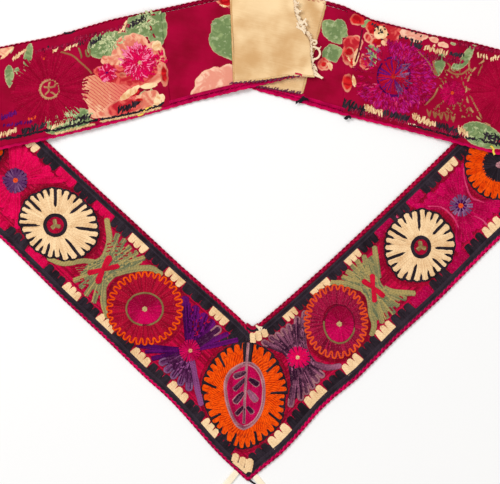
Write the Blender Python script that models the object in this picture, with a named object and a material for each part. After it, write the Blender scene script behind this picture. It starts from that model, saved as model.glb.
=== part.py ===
"""A V-shaped suzani band, laid flat with both of its arms folded over.

The band is one V-shaped embroidered cloth. Each arm runs away from the corner, folds over along a slanting
crease and comes back across the top with its lining up. Past a seam it goes on in plain printed cotton, and it
ends in a piece of undyed cotton. The left end lies over the right one. A braided edging follows both edges,
and two tape ties leave it at the point.

Metres, +Z up. The origin is in the middle of the corner, on the surface that the band rests on. +Y runs from
the point of the V to its opening, and the arms' embroidered face looks up.

Every piece is laid out on the unfolded band first, by its distance from the corner along an arm's middle line
and its place across that line, and laid() then brings each point to where the folded band has it.
"""

import math
from collections import namedtuple

import bmesh
import bpy
from mathutils import Vector

UP = Vector((0, 0, 1))
CLEARANCE = 0.0003  # between neighbouring solids
SEAM_CLEARANCE = CLEARANCE / 2  # on each side of a seam

# The pieces' cross sections
BAND_THICKNESS = 0.0020  # cloth, lining and the stitches on it
EXTENSION_THICKNESS = 0.0012
END_THICKNESS = 0.0010
EDGING_WIDTH = 0.0045
EDGING_HEIGHT = 0.0019
TIE_WIDTH = 0.0056
TIE_THICKNESS = 0.0012
TIE_MIDDLE = 0.0007  # above the surface
MIDDLE_HEIGHT = BAND_THICKNESS / 2  # of every layer that lies on the surface

# The folds
FOLD_RADIUS = 0.0026  # from the crease's axis to the middle of the cloth
FOLD_LENGTH = math.pi * FOLD_RADIUS  # of cloth that the crease takes
LAYER_SPACING = BAND_THICKNESS + 0.0012  # from an arm's middle to that of the strip on it
END_SPACING = 0.0028  # the same where one loose end lies over the other
CREASE_RELAX = 0.045  # the length in which a crease's bulge flattens
DRAPE_CLEAR = 0.002  # kept beside an edge that a layer falls over
DRAPE_RUN = 0.028  # the length in which a layer comes down from such an edge

# The outline. An arm's angles are in degrees from +X: its own, and that of the strip that comes back. The
# other lengths run from the corner along its middle line, and a slant is the length that a cross line gains
# for each metre across, towards the V's inside.
MITRE_ANGLE = 88.5
Arm = namedtuple("Arm", "name side angle strip_angle crease seam seam_slant patch patch_slant end end_slant")
LEFT = Arm("left", -1, 136.60, 13.03, 0.4295, 0.662, 0.12, 0.732, 0.19, 0.804, -0.03)
RIGHT = Arm("right", 1, 43.47, 165.20, 0.4185, 0.633, 0.22, 0.668, 0.00, 0.743, 0.00)

Width = namedtuple("Width", "distance left_outer left_inner right_outer right_inner")
WIDTHS = (  # from the middle line to the edging's outside
    Width(-0.050, 0.0559, 0.0559, 0.0530, 0.0530),
    Width(-0.010, 0.0562, 0.0559, 0.0561, 0.0530),
    Width(0.008, 0.0550, 0.0559, 0.0556, 0.0530),
    Width(0.045, 0.0511, 0.0559, 0.0512, 0.0530),
    Width(0.065, 0.0500, 0.0570, 0.0516, 0.0541),
    Width(0.095, 0.0511, 0.0565, 0.0540, 0.0524),
    Width(0.150, 0.0502, 0.0545, 0.0519, 0.0507),
    Width(0.210, 0.0507, 0.0540, 0.0529, 0.0503),
    Width(0.280, 0.0489, 0.0530, 0.0507, 0.0506),
    Width(0.330, 0.0495, 0.0527, 0.0508, 0.0511),
    Width(0.425, 0.0510, 0.0505, 0.0495, 0.0530),
    Width(0.520, 0.0525, 0.0480, 0.0495, 0.0525),
    Width(0.560, 0.0524, 0.0467, 0.0496, 0.0495),
    Width(0.620, 0.0514, 0.0500, 0.0510, 0.0490),
    Width(0.650, 0.0500, 0.0496, 0.0501, 0.0551),
    Width(0.680, 0.0485, 0.0492, 0.0492, 0.0555),
    Width(0.780, 0.0477, 0.0487, 0.0490, 0.0500),
    Width(0.810, 0.0525, 0.0485, 0.0490, 0.0490),
)

Billow = namedtuple("Billow", "start length height")  # a low swell of a strip, past its crease
BILLOWS = {"left": Billow(0.085, 0.130, 0.0018), "right": Billow(0.075, 0.110, 0.0014)}

# How finely the surfaces are divided
ARM_STEP = 0.016
STRIP_STEP = 0.012
FOLD_STEPS = 8
COLUMNS = 7

# The ties' routes over the surface, from the edging to their free ends
TIE_ROUTES = {
    "left": (
        (-0.0129, -0.0654),
        (-0.0153, -0.0684),
        (-0.0178, -0.0715),
        (-0.0204, -0.0746),
        (-0.0231, -0.0775),
        (-0.0259, -0.0804),
        (-0.0289, -0.0831),
        (-0.0320, -0.0856),
        (-0.0353, -0.0878),
        (-0.0388, -0.0898),
        (-0.0424, -0.0916),
        (-0.0461, -0.0931),
        (-0.0499, -0.0943),
        (-0.0538, -0.0953),
        (-0.0577, -0.0961),
        (-0.0617, -0.0966),
    ),
    "right": (
        (0.0047, -0.0697),
        (0.0074, -0.0729),
        (0.0099, -0.0760),
        (0.0124, -0.0791),
        (0.0148, -0.0823),
        (0.0171, -0.0856),
        (0.0192, -0.0890),
        (0.0211, -0.0925),
        (0.0228, -0.0961),
        (0.0242, -0.0999),
        (0.0253, -0.1037),
        (0.0261, -0.1076),
        (0.0266, -0.1116),
        (0.0269, -0.1156),
        (0.0269, -0.1196),
    ),
}

# Colours
CRIMSON_EMBROIDERY = (0.42, 0.012, 0.055)
CRIMSON_COTTON = (0.33, 0.008, 0.035)
UNDYED_COTTON = (0.76, 0.55, 0.30)
PINK_EDGING = (0.56, 0.012, 0.09)
DARK_EDGING = (0.38, 0.010, 0.04)
CREAM_TAPE = (0.93, 0.84, 0.66)


def flat(angle):
    """The unit vector that lies flat at an angle in degrees from +X."""
    return Vector((math.cos(math.radians(angle)), math.sin(math.radians(angle)), 0))


def ease(share):
    """0 up to 0, 1 from 1 on, and smooth between."""
    share = min(1.0, max(0.0, share))
    return share * share * (3 - 2 * share)


def interpolated(stops, distance):
    """The value at a distance, from (distance, value) pairs in order."""
    for (near, near_value), (far, far_value) in zip(stops, stops[1:]):
        if distance <= far:
            break
    share = min(1.0, max(0.0, (distance - near) / (far - near)))
    return near_value + share * (far_value - near_value)


def along(arm):
    return flat(arm.angle)


def inward(arm):
    """Square to the arm, towards the V's inside."""
    return flat(arm.angle + 90 * arm.side)


def half_width(arm, distance, side):
    """From the middle line to an edge at a distance: side is 1 at the inner edge and -1 at the outer one."""
    column = f"{arm.name}_{'inner' if side > 0 else 'outer'}"
    return interpolated([(row.distance, getattr(row, column)) for row in WIDTHS], distance)


class Crease:
    """The line along which an arm starts to fold over."""

    def __init__(self, arm):
        lean = math.radians(abs(arm.angle - arm.strip_angle) / 2)
        line = flat((arm.angle + arm.strip_angle) / 2)
        self.outward = line.cross(UP) * arm.side
        self.point = along(arm) * arm.crease - self.outward * FOLD_LENGTH / 2
        self.slant = 1 / math.tan(lean)
        self.start = arm.crease - FOLD_LENGTH / 2 / math.sin(lean)
        self.finish = arm.crease + FOLD_LENGTH / 2 / math.sin(lean)

    def beyond(self, point):
        return (point - self.point).dot(self.outward)


CREASES = {arm.name: Crease(arm) for arm in (LEFT, RIGHT)}


def slant_at(arm, distance):
    """The slant of the cross line at a distance, from the mitre's to the crease's and on to the end's."""
    crease = CREASES[arm.name]
    stops = (
        (0, 1 / math.tan(math.radians(abs(arm.angle - MITRE_ANGLE)))),
        (crease.start, crease.slant),
        (crease.finish, crease.slant),
        (arm.seam, arm.seam_slant),
        (arm.patch, arm.patch_slant),
        (arm.end, arm.end_slant),
    )
    return interpolated(stops, distance)


def reach(arm, distance, side):
    """How far the cross line at a distance runs to an edge, measured square to the middle line."""
    width = half_width(arm, distance, side)
    return half_width(arm, distance + slant_at(arm, distance) * side * width, side)


def inside_of_arm(arm, point):
    """How far a point lies inside the V from the arm's inner edge."""
    return point.dot(inward(arm)) - half_width(arm, point.dot(along(arm)), 1)


def outside_strip(arm, point):
    """How far a point lies from the strip that an arm ends in, or less than 0 on it."""
    offset = point - along(arm) * arm.crease
    run = offset.dot(flat(arm.strip_angle))
    across = offset.dot(flat(arm.strip_angle - 90 * arm.side))
    distance = arm.crease + run
    width = half_width(arm, distance, 1 if across > 0 else -1)
    return max(distance - arm.end, abs(across) - width)


def swell(arm, past_crease):
    """The height of the strip's swell."""
    billow = BILLOWS[arm.name]
    share = (past_crease - billow.start) / billow.length
    return billow.height * math.sin(math.pi * share) ** 2 if 0 < share < 1 else 0.0


def lift(arm, point, past_crease):
    """How far the strip at a point lies above one that rests on the surface."""
    bulge = 2 * FOLD_RADIUS - LAYER_SPACING
    over_arm = LAYER_SPACING + bulge * (1 - ease(past_crease / CREASE_RELAX))
    over_arm *= 1 - ease((inside_of_arm(arm, point) - DRAPE_CLEAR) / DRAPE_RUN)
    over_end = 0.0
    if arm is LEFT:
        over_end = END_SPACING * (1 - ease((outside_strip(RIGHT, point) - DRAPE_CLEAR) / DRAPE_RUN))
    return max(over_arm, over_end, swell(arm, past_crease))


def laid(arm, distance, across, height):
    """Where the folded band has a point of the unfolded one.

    distance and across are along and square to the arm's middle line, and height is from the middle of the
    cloth towards its embroidered face."""
    crease = CREASES[arm.name]
    point = along(arm) * distance + inward(arm) * across
    beyond = crease.beyond(point)
    if beyond <= 0:
        return point + UP * (MIDDLE_HEIGHT + height)
    foot = point - crease.outward * beyond
    turn = min(math.pi, beyond / FOLD_RADIUS)
    towards_face = UP * math.cos(turn) - crease.outward * math.sin(turn)
    if beyond < FOLD_LENGTH:
        bend = crease.outward * math.sin(turn) + UP * (1 - math.cos(turn))
        return foot + bend * FOLD_RADIUS + UP * MIDDLE_HEIGHT + towards_face * height
    past_crease = beyond - FOLD_LENGTH
    place = foot - crease.outward * past_crease
    return place + UP * (MIDDLE_HEIGHT + lift(arm, place, past_crease)) + towards_face * height


def divided(start, finish, step):
    """Distances from start to finish in equal steps of about the given size, with both ends."""
    count = max(1, round((finish - start) / step))
    return [start + (finish - start) * i / count for i in range(count + 1)]


def distances(arm, start, finish):
    """Where the cross lines of a stretch of an arm stand: further apart on the arm than in its crease."""
    crease = CREASES[arm.name]
    if start > crease.finish:
        return divided(start, finish, STRIP_STEP)
    bend_step = (crease.finish - crease.start) / FOLD_STEPS
    arm_part = divided(start, crease.start, ARM_STEP)
    bend_part = divided(crease.start, crease.finish, bend_step)
    return arm_part + bend_part[1:] + divided(crease.finish, finish, STRIP_STEP)[1:]


def cloth_section(arm, distance, thickness):
    """A cloth's closed cross section between the two edgings: across its face, and back across its back."""
    slant = slant_at(arm, distance)
    margin = EDGING_WIDTH + CLEARANCE
    outer = margin - reach(arm, distance, -1)
    inner = reach(arm, distance, 1) - margin
    places = [outer + (inner - outer) * i / COLUMNS for i in range(COLUMNS + 1)]
    face = [laid(arm, distance + slant * across, across, thickness / 2) for across in places]
    back = [laid(arm, distance + slant * across, across, -thickness / 2) for across in places]
    return face + back[::-1]


def edging_section(arm, distance, side):
    """The edging's six-sided cross section at one edge of the band."""
    slant = slant_at(arm, distance)
    middle = reach(arm, distance, side) - EDGING_WIDTH / 2
    section = []
    for corner in range(6):
        angle = math.tau * corner / 6
        across = side * (middle + EDGING_WIDTH / 2 * math.cos(angle))
        height = EDGING_HEIGHT / 2 * math.sin(angle) / math.sin(math.tau / 6)
        section.append(laid(arm, distance + slant * across, across, height))
    return section


def both_arms(section_at, left_finish, right_finish):
    """The cross sections from the left arm's finish, round the corner, to the right arm's."""
    left = [section_at(LEFT, distance) for distance in distances(LEFT, 0, left_finish)]
    right = [section_at(RIGHT, distance) for distance in distances(RIGHT, 0, right_finish)]
    return left[::-1] + right[1:]


def solid(name, sections, material):
    """One closed body through cross sections that each have the same, even number of points."""
    mesh = bpy.data.meshes.new(name)
    shell = bmesh.new()
    rows = [[shell.verts.new(point) for point in section] for section in sections]
    size = len(rows[0])
    for near, far in zip(rows, rows[1:]):
        for i in range(size):
            j = (i + 1) % size
            shell.faces.new((near[i], near[j], far[j], far[i]))
    for row in (rows[0], rows[-1]):
        for i in range(size // 2 - 1):
            shell.faces.new((row[i], row[i + 1], row[size - 2 - i], row[size - 1 - i]))
    bmesh.ops.recalc_face_normals(shell, faces=shell.faces)
    shell.to_mesh(mesh)
    shell.free()
    mesh.materials.append(material)
    body = bpy.data.objects.new(name, mesh)
    bpy.context.scene.collection.objects.link(body)
    return body


def finish_of(name, colour, roughness):
    """A cloth finish for one kind of piece."""
    material = bpy.data.materials.new(name)
    material.use_nodes = True
    shader = material.node_tree.nodes["Principled BSDF"]
    shader.inputs["Base Color"].default_value = (*colour, 1)
    shader.inputs["Roughness"].default_value = roughness
    shader.inputs["Metallic"].default_value = 0
    material.diffuse_color = (*colour, 1)
    return material


def band():
    """The embroidered V with its lining, from seam to seam."""

    def section_at(arm, distance):
        return cloth_section(arm, distance, BAND_THICKNESS)

    finish = finish_of("crimson_embroidery", CRIMSON_EMBROIDERY, 0.75)
    sections = both_arms(section_at, LEFT.seam - SEAM_CLEARANCE, RIGHT.seam - SEAM_CLEARANCE)
    solid("band", sections, finish)


def strip_piece(name, arm, start, finish, thickness, material):
    """A length of plain cloth in a strip."""
    sections = [cloth_section(arm, distance, thickness) for distance in distances(arm, start, finish)]
    solid(f"{name}_{arm.name}", sections, material)


def edging(name, side, colour):
    """The braid along the whole of one edge."""

    def section_at(arm, distance):
        return edging_section(arm, distance, side)

    finish = finish_of(name, colour, 0.7)
    solid(name, both_arms(section_at, LEFT.end, RIGHT.end), finish)


def tie(name, arm, route, material):
    """A flat tape that lies along its route, cut at its start to the line of the edging."""
    points = [Vector((x, y, TIE_MIDDLE)) for x, y in route]
    directions = [(far - near).normalized() for near, far in zip(points, points[2:])]
    directions = [-inward(arm)] + directions + [(points[-1] - points[-2]).normalized()]
    sections = []
    for point, direction in zip(points, directions):
        sideways = direction.cross(UP) * TIE_WIDTH / 2
        rise = UP * TIE_THICKNESS / 2
        corners = (point - sideways + rise, point + sideways + rise)
        sections.append(corners + (point + sideways - rise, point - sideways - rise))
    solid(name, sections, material)


def main():
    for thing in list(bpy.data.objects):
        bpy.data.objects.remove(thing)
    band()
    printed = finish_of("printed_cotton", CRIMSON_COTTON, 0.85)
    undyed = finish_of("undyed_cotton", UNDYED_COTTON, 0.9)
    tape = finish_of("cream_tape", CREAM_TAPE, 0.8)
    for arm in (LEFT, RIGHT):
        seam, patch = arm.seam + SEAM_CLEARANCE, arm.patch - SEAM_CLEARANCE
        strip_piece("extension", arm, seam, patch, EXTENSION_THICKNESS, printed)
        strip_piece("end", arm, arm.patch + SEAM_CLEARANCE, arm.end, END_THICKNESS, undyed)
        tie(f"tie_{arm.name}", arm, TIE_ROUTES[arm.name], tape)
    edging("edging_outer", -1, PINK_EDGING)
    edging("edging_inner", 1, DARK_EDGING)


main()
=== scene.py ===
"""The V-shaped suzani band with its silk, braid, lining, loose ends and ties.

Everything is laid out on the unfolded band, in millimetres from the middle of its corner: x and y as on the
V, and height from the middle of the cloth towards its face. laid() then brings each point to where the folded
band has it, in metres. The back of the band has heights below 0.
"""

import math
from collections import defaultdict, namedtuple
from functools import partial

import bpy
import numpy as np
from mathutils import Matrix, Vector


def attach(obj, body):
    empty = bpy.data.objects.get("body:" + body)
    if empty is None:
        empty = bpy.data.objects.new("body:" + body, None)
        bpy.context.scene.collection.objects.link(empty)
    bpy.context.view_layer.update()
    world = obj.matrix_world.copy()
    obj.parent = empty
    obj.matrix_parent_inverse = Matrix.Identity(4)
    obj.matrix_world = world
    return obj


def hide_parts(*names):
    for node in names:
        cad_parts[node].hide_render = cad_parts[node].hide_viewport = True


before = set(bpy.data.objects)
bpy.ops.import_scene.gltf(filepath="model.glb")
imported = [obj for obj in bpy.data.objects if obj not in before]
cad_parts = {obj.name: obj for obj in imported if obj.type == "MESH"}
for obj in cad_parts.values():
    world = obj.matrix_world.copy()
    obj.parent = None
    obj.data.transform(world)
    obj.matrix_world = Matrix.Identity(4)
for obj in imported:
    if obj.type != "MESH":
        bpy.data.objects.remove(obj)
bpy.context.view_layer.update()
chance = np.random.default_rng(11)
between = chance.uniform

MM = 0.001

# The band's own sizes, the same as in its source
CLEARANCE = 0.3
BAND_THICKNESS = 2
EXTENSION_THICKNESS = 1.2
END_THICKNESS = 1
EDGING_WIDTH = 4.5
MIDDLE_HEIGHT = BAND_THICKNESS / 2
FOLD_RADIUS = 2.6
FOLD_LENGTH = math.pi * FOLD_RADIUS
LAYER_SPACING = 3.2
END_SPACING = 2.8
CREASE_RELAX = 45
DRAPE_CLEAR = 2
DRAPE_RUN = 28
MITRE_ANGLE = 88.5
TIE_WIDTH = 5.6
TIE_MIDDLE = 0.7

Arm = namedtuple("Arm", "name side angle strip_angle crease seam seam_slant patch patch_slant end end_slant")
LEFT = Arm("left", -1, 136.6, 13.03, 429.5, 662, 0.12, 732, 0.19, 804, -0.03)
RIGHT = Arm("right", 1, 43.47, 165.2, 418.5, 633, 0.22, 668, 0, 743, 0)

WIDTH_COLUMNS = ("distance", "left_outer", "left_inner", "right_outer", "right_inner")
WIDTH_ROWS = (
    (-50, 55.9, 55.9, 53, 53), (-10, 56.2, 55.9, 56.1, 53), (8, 55, 55.9, 55.6, 53),
    (45, 51.1, 55.9, 51.2, 53), (65, 50, 57, 51.6, 54.1), (95, 51.1, 56.5, 54, 52.4),
    (150, 50.2, 54.5, 51.9, 50.7), (210, 50.7, 54, 52.9, 50.3), (280, 48.9, 53, 50.7, 50.6),
    (330, 49.5, 52.7, 50.8, 51.1), (425, 51, 50.5, 49.5, 53), (520, 52.5, 48, 49.5, 52.5),
    (560, 52.4, 46.7, 49.6, 49.5), (620, 51.4, 50, 51, 49), (650, 50, 49.6, 50.1, 55.1),
    (680, 48.5, 49.2, 49.2, 55.5), (780, 47.7, 48.7, 49, 50), (810, 52.5, 48.5, 49, 49),
)
WIDTHS = dict(zip(WIDTH_COLUMNS, zip(*WIDTH_ROWS)))

Billow = namedtuple("Billow", "start length height")
BILLOWS = {"left": Billow(85, 130, 1.8), "right": Billow(75, 110, 1.4)}

INNER = 1
OUTER = -1

# Heights above the middle of the cloth
FACE = 0.1
GROUND = 0.08
CHANNEL = 0.22
BORDER = 0.34
LEAF = 0.52
UNDERLAY = 0.66
ROSETTE = 0.78
ORNAMENT = 1
LINE = 1.16
LINING = 0.85  # the height of its surface on the band's back

BAND_WIDTH = 100  # without most of the edging
CLOTH_MARGIN = 2.2  # how far the two cloths reach in under the edging
GROUND_MARGIN = 7  # how far in from the edges the crimson rows of the ground start
GROUND_ROWS = 66
CORNER_BLEND = 25  # how far from the corner the two arms' own depths start

ROW_PITCH = 1.15  # from one row of thread to the next
ROW_LAP = 1.2  # how much wider a row is than its pitch
STITCH_STEP = 2.6
HAND = 0.11  # how far a stitch strays from its line

# The ties' routes, the same as in the source
TIE_ROUTES = {
    "left": (
        (-12.9, -65.4), (-15.3, -68.4), (-17.8, -71.5), (-20.4, -74.6), (-23.1, -77.5), (-25.9, -80.4),
        (-28.9, -83.1), (-32, -85.6), (-35.3, -87.8), (-38.8, -89.8), (-42.4, -91.6), (-46.1, -93.1),
        (-49.9, -94.3), (-53.8, -95.3), (-57.7, -96.1), (-61.7, -96.6),
    ),
    "right": (
        (4.7, -69.7), (7.4, -72.9), (9.9, -76), (12.4, -79.1), (14.8, -82.3), (17.1, -85.6), (19.2, -89),
        (21.1, -92.5), (22.8, -96.1), (24.2, -99.9), (25.3, -103.7), (26.1, -107.6), (26.6, -111.6),
        (26.9, -115.6), (26.9, -119.6),
    ),
}


def stray(by, size=None):
    """A random number, or some, no further than that from 0."""
    return between(-by, by, size)


# ---- The folded band ----


def flat(angle):
    """The unit vector at an angle in degrees from +X."""
    return np.array((math.cos(math.radians(angle)), math.sin(math.radians(angle))))


def ease(share):
    share = np.clip(share, 0, 1)
    return share * share * (3 - 2 * share)


def along(arm):
    return flat(arm.angle)


def inward(arm):
    return flat(arm.angle + 90 * arm.side)


def half_width(arm, distance, side):
    """From the arm's middle line to the edging's outside."""
    return np.interp(distance, WIDTHS["distance"], WIDTHS[f"{arm.name}_{'inner' if side > 0 else 'outer'}"])


def spot(arm, distance, across):
    """The point of the unfolded band at a distance along an arm and a place across it."""
    return np.multiply.outer(distance, along(arm)) + np.multiply.outer(across, inward(arm))


class Crease:
    """The line along which an arm folds over."""

    def __init__(self, arm):
        lean = math.radians(abs(arm.angle - arm.strip_angle) / 2)
        line = flat((arm.angle + arm.strip_angle) / 2)
        self.outward = np.array((line[1], -line[0])) * arm.side
        self.point = along(arm) * arm.crease - self.outward * FOLD_LENGTH / 2
        self.slant = 1 / math.tan(lean)
        self.start = arm.crease - FOLD_LENGTH / 2 / math.sin(lean)
        self.finish = arm.crease + FOLD_LENGTH / 2 / math.sin(lean)


CREASES = {arm.name: Crease(arm) for arm in (LEFT, RIGHT)}


def slant_at(arm, distance):
    """The length that the cross line at a distance gains for each millimetre across."""
    crease = CREASES[arm.name]
    stops = (0, crease.start, crease.finish, arm.seam, arm.patch, arm.end)
    mitre = 1 / math.tan(math.radians(abs(arm.angle - MITRE_ANGLE)))
    slants = (mitre, crease.slant, crease.slant, arm.seam_slant, arm.patch_slant, arm.end_slant)
    return np.interp(distance, stops, slants)


def on_cross_line(arm, distance, across):
    """The point at a place across the band, on the cross line that an arm has at a distance."""
    return spot(arm, distance + slant_at(arm, distance) * across, across)


def reach(arm, distance, side):
    """How far the cross line at a distance runs to an edge."""
    width = half_width(arm, distance, side)
    return half_width(arm, distance + slant_at(arm, distance) * side * width, side)


def outside_strip(arm, place):
    """How far a place in plan lies from the strip that an arm ends in."""
    offset = place - along(arm) * arm.crease
    across = offset @ flat(arm.strip_angle - 90 * arm.side)
    distance = arm.crease + offset @ flat(arm.strip_angle)
    width = np.where(across > 0, half_width(arm, distance, INNER), half_width(arm, distance, OUTER))
    return np.maximum(distance - arm.end, np.abs(across) - width)


def lift(arm, place, past_crease):
    """How far the strip at a place lies above one that rests on the surface."""
    inside_of_arm = place @ inward(arm) - half_width(arm, place @ along(arm), INNER)
    bulge = 2 * FOLD_RADIUS - LAYER_SPACING
    over_arm = LAYER_SPACING + bulge * (1 - ease(past_crease / CREASE_RELAX))
    over_arm = over_arm * (1 - ease((inside_of_arm - DRAPE_CLEAR) / DRAPE_RUN))
    billow = BILLOWS[arm.name]
    share = np.clip((past_crease - billow.start) / billow.length, 0, 1)
    raised = np.maximum(over_arm, billow.height * np.sin(math.pi * share) ** 2)
    if arm is LEFT:
        beside = outside_strip(RIGHT, place)
        raised = np.maximum(raised, END_SPACING * (1 - ease((beside - DRAPE_CLEAR) / DRAPE_RUN)))
    return raised


def laid_on(arm, points):
    crease = CREASES[arm.name]
    spots, height = points[:, :2], points[:, 2]
    beyond = (spots - crease.point) @ crease.outward
    foot = spots - np.outer(np.maximum(beyond, 0), crease.outward)
    turn = np.clip(beyond / FOLD_RADIUS, 0, math.pi)
    past_crease = np.maximum(beyond - FOLD_LENGTH, 0)
    place = foot - np.outer(past_crease, crease.outward)
    out = (FOLD_RADIUS - height) * np.sin(turn)
    bent = FOLD_RADIUS * (1 - np.cos(turn))
    raised = np.where(beyond > FOLD_LENGTH, lift(arm, place, past_crease), bent)
    rise = MIDDLE_HEIGHT + raised + height * np.cos(turn)
    return np.column_stack([place + np.outer(out, crease.outward), rise])


def laid(points):
    """Where the folded band has points of the unfolded one, in metres."""
    points = np.asarray(points, float)
    mitre = flat(MITRE_ANGLE)
    left = mitre[0] * points[:, 1] - mitre[1] * points[:, 0] > 0
    places = np.empty_like(points)
    for arm, own in ((LEFT, left), (RIGHT, ~left)):
        places[own] = laid_on(arm, points[own])
    return places * MM


def unfolded(arm, place):
    """The point of the unfolded band that lies at a place in plan, on the strip that comes back."""
    crease = CREASES[arm.name]
    place = np.asarray(place, float)
    past_crease = -(place - crease.point) @ crease.outward
    return place + np.multiply.outer(2 * past_crease + FOLD_LENGTH, crease.outward)


# ---- Nodes ----


class Value:
    """A number that a tree's nodes work out, for use in plain sums."""

    def __init__(self, socket):
        self.socket = socket

    def maths(self, operation, *others):
        node = add(self.socket.id_data, "ShaderNodeMath", enumerate((self, *others)), operation=operation)
        return Value(node.outputs[0])

    def __add__(self, other):
        return self.maths("ADD", other)

    def __sub__(self, other):
        return self.maths("SUBTRACT", other)

    def __mul__(self, other):
        return self.maths("MULTIPLY", other)

    def __truediv__(self, other):
        return self.maths("DIVIDE", other)

    def sine(self):
        return self.maths("SINE")

    def humps(self):
        return self.sine().maths("ABSOLUTE")

    def stepped(self, low, high):
        """0 below low, 1 above high."""
        inputs = {0: self, 1: low, 2: high}
        node = add(self.socket.id_data, "ShaderNodeMapRange", inputs, interpolation_type="SMOOTHSTEP")
        return Value(node.outputs[0])


def plug(value, socket):
    """Links a value to a socket, or sets it there."""
    if isinstance(value, Value):
        value = value.socket
    if isinstance(value, bpy.types.NodeSocket):
        socket.id_data.links.new(value, socket)
    else:
        socket.default_value = value


def add(tree, kind, inputs=(), **settings):
    """A node with its settings, and with its inputs linked or set."""
    made = tree.nodes.new(kind)
    for name, value in settings.items():
        setattr(made, name, value)
    for key, value in dict(inputs).items():
        plug(value, made.inputs[key])
    return made


def blended(factor, first, second):
    """A mix of two colours."""
    node = add(factor.socket.id_data, "ShaderNodeMix", {0: factor}, data_type="RGBA")
    for index, colour in ((6, first), (7, second)):
        plug((*colour, 1) if isinstance(colour, tuple) else colour, node.inputs[index])
    return node.outputs[2]


def measured(tree, name):
    """A number that the mesh carries."""
    return Value(add(tree, "ShaderNodeAttribute", attribute_name=name).outputs["Fac"])


def own_place(tree):
    return add(tree, "ShaderNodeTexCoord").outputs["Object"]


def part(place, index):
    """One coordinate of a place."""
    return Value(add(place.id_data, "ShaderNodeSeparateXYZ", {0: place}).outputs[index])


def mapped(place, **inputs):
    return add(place.id_data, "ShaderNodeMapping", {"Vector": place, **inputs}).outputs[0]


def noise(place, scale, detail, **more):
    inputs = {"Vector": place, "Scale": scale, "Detail": detail, **more}
    return Value(add(place.id_data, "ShaderNodeTexNoise", inputs).outputs[0])


def eye(red, green, blue):
    """A colour as the eye reads it, from 0 to 255, made linear."""
    shares = [value / 255 for value in (red, green, blue)]
    return tuple(s / 12.92 if s <= 0.04045 else ((s + 0.055) / 1.055) ** 2.4 for s in shares)


def group(name, kind, inputs, outputs):
    """An empty node group with named sockets. An input can have its usual value."""
    tree = bpy.data.node_groups.new(name, kind)
    for way, sockets in (("INPUT", inputs), ("OUTPUT", outputs)):
        for socket, (sort, *usual) in sockets.items():
            made = tree.interface.new_socket(socket, in_out=way, socket_type=f"NodeSocket{sort}")
            if usual:
                made.default_value = usual[0]
    return tree, tree.nodes.new("NodeGroupInput").outputs, tree.nodes.new("NodeGroupOutput").inputs


COLOUR = ("Color",)
FLOAT = ("Float",)


def thread_group():
    """The colour and relief of rows of thread, from the numbers that each row carries, with painted shade at
    the rows' edges and between their stitches.
    """
    inputs = {"Dark": COLOUR, "Light": COLOUR, "Stitch Length": FLOAT, "Worn": FLOAT, "Gap": FLOAT}
    outputs = {"Colour": COLOUR, "Relief": FLOAT}
    tree, given, out = group("thread_surface", "ShaderNodeTree", inputs, outputs)
    place = own_place(tree)
    patches = noise(place, 90, 3)
    flecks = noise(place, 900, 2)
    run, across, shade = (measured(tree, name) for name in ("along", "across", "shade"))
    shade = patches * 0.9 + flecks * 0.5 + shade - 0.7
    colour = blended(shade.stepped(0, 1), given["Dark"], given["Light"])
    colour = blended(flecks.stepped(0.55, 0.75) * given["Worn"], colour, eye(225, 190, 190))
    loop = ((across * 0.5 + run / given["Stitch Length"]) * math.pi).humps()
    fibres = (across * 26 + run * 3).sine()
    # Painted shade: the thread goes towards near black at its rows' edges and between its stitch loops, as
    # much as Gap Shade says
    groove = loop.stepped(0, 0.4) * (across * math.pi).sine().stepped(0.05, 0.75)
    gap = (groove * -1 + 1) * given["Gap"]
    plug(blended(gap, colour, (0.02, 0, 0.004)), out["Colour"])
    plug(fibres * 0.12 + loop, out["Relief"])
    return tree


def weave_group():
    """A plain weave's threads, with slubs."""
    outputs = {"Relief": FLOAT, "Slubs": FLOAT}
    tree, given, out = group("plain_weave", "ShaderNodeTree", {"Thread Width": FLOAT}, outputs)
    turned = mapped(own_place(tree), Rotation=(0, 0, math.radians(13)))
    warp, weft = ((part(turned, index) / given["Thread Width"] * math.pi).humps() for index in (0, 1))
    plug(warp.maths("MAXIMUM", weft), out["Relief"])
    plug(noise(mapped(turned, Scale=(60, 900, 900)), 1, 3), out["Slubs"])
    return tree


THREAD_SURFACE = thread_group()
PLAIN_WEAVE = weave_group()


def new_material(name, roughness, gloss=0.03):
    material = bpy.data.materials.new(name)
    material.use_nodes = True
    shader = material.node_tree.nodes["Principled BSDF"]
    shader.inputs["Roughness"].default_value = roughness
    if gloss is not None:
        shader.inputs["Specular IOR Level"].default_value = gloss
    return material, material.node_tree, shader.inputs


def bumped(tree, sockets, height, distance, strength=0.6):
    bump = add(tree, "ShaderNodeBump", {"Height": height, "Distance": distance, "Strength": strength})
    plug(bump.outputs[0], sockets["Normal"])


# gap is how strongly painted shade darkens a thread at its rows' edges and between its stitches
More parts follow.
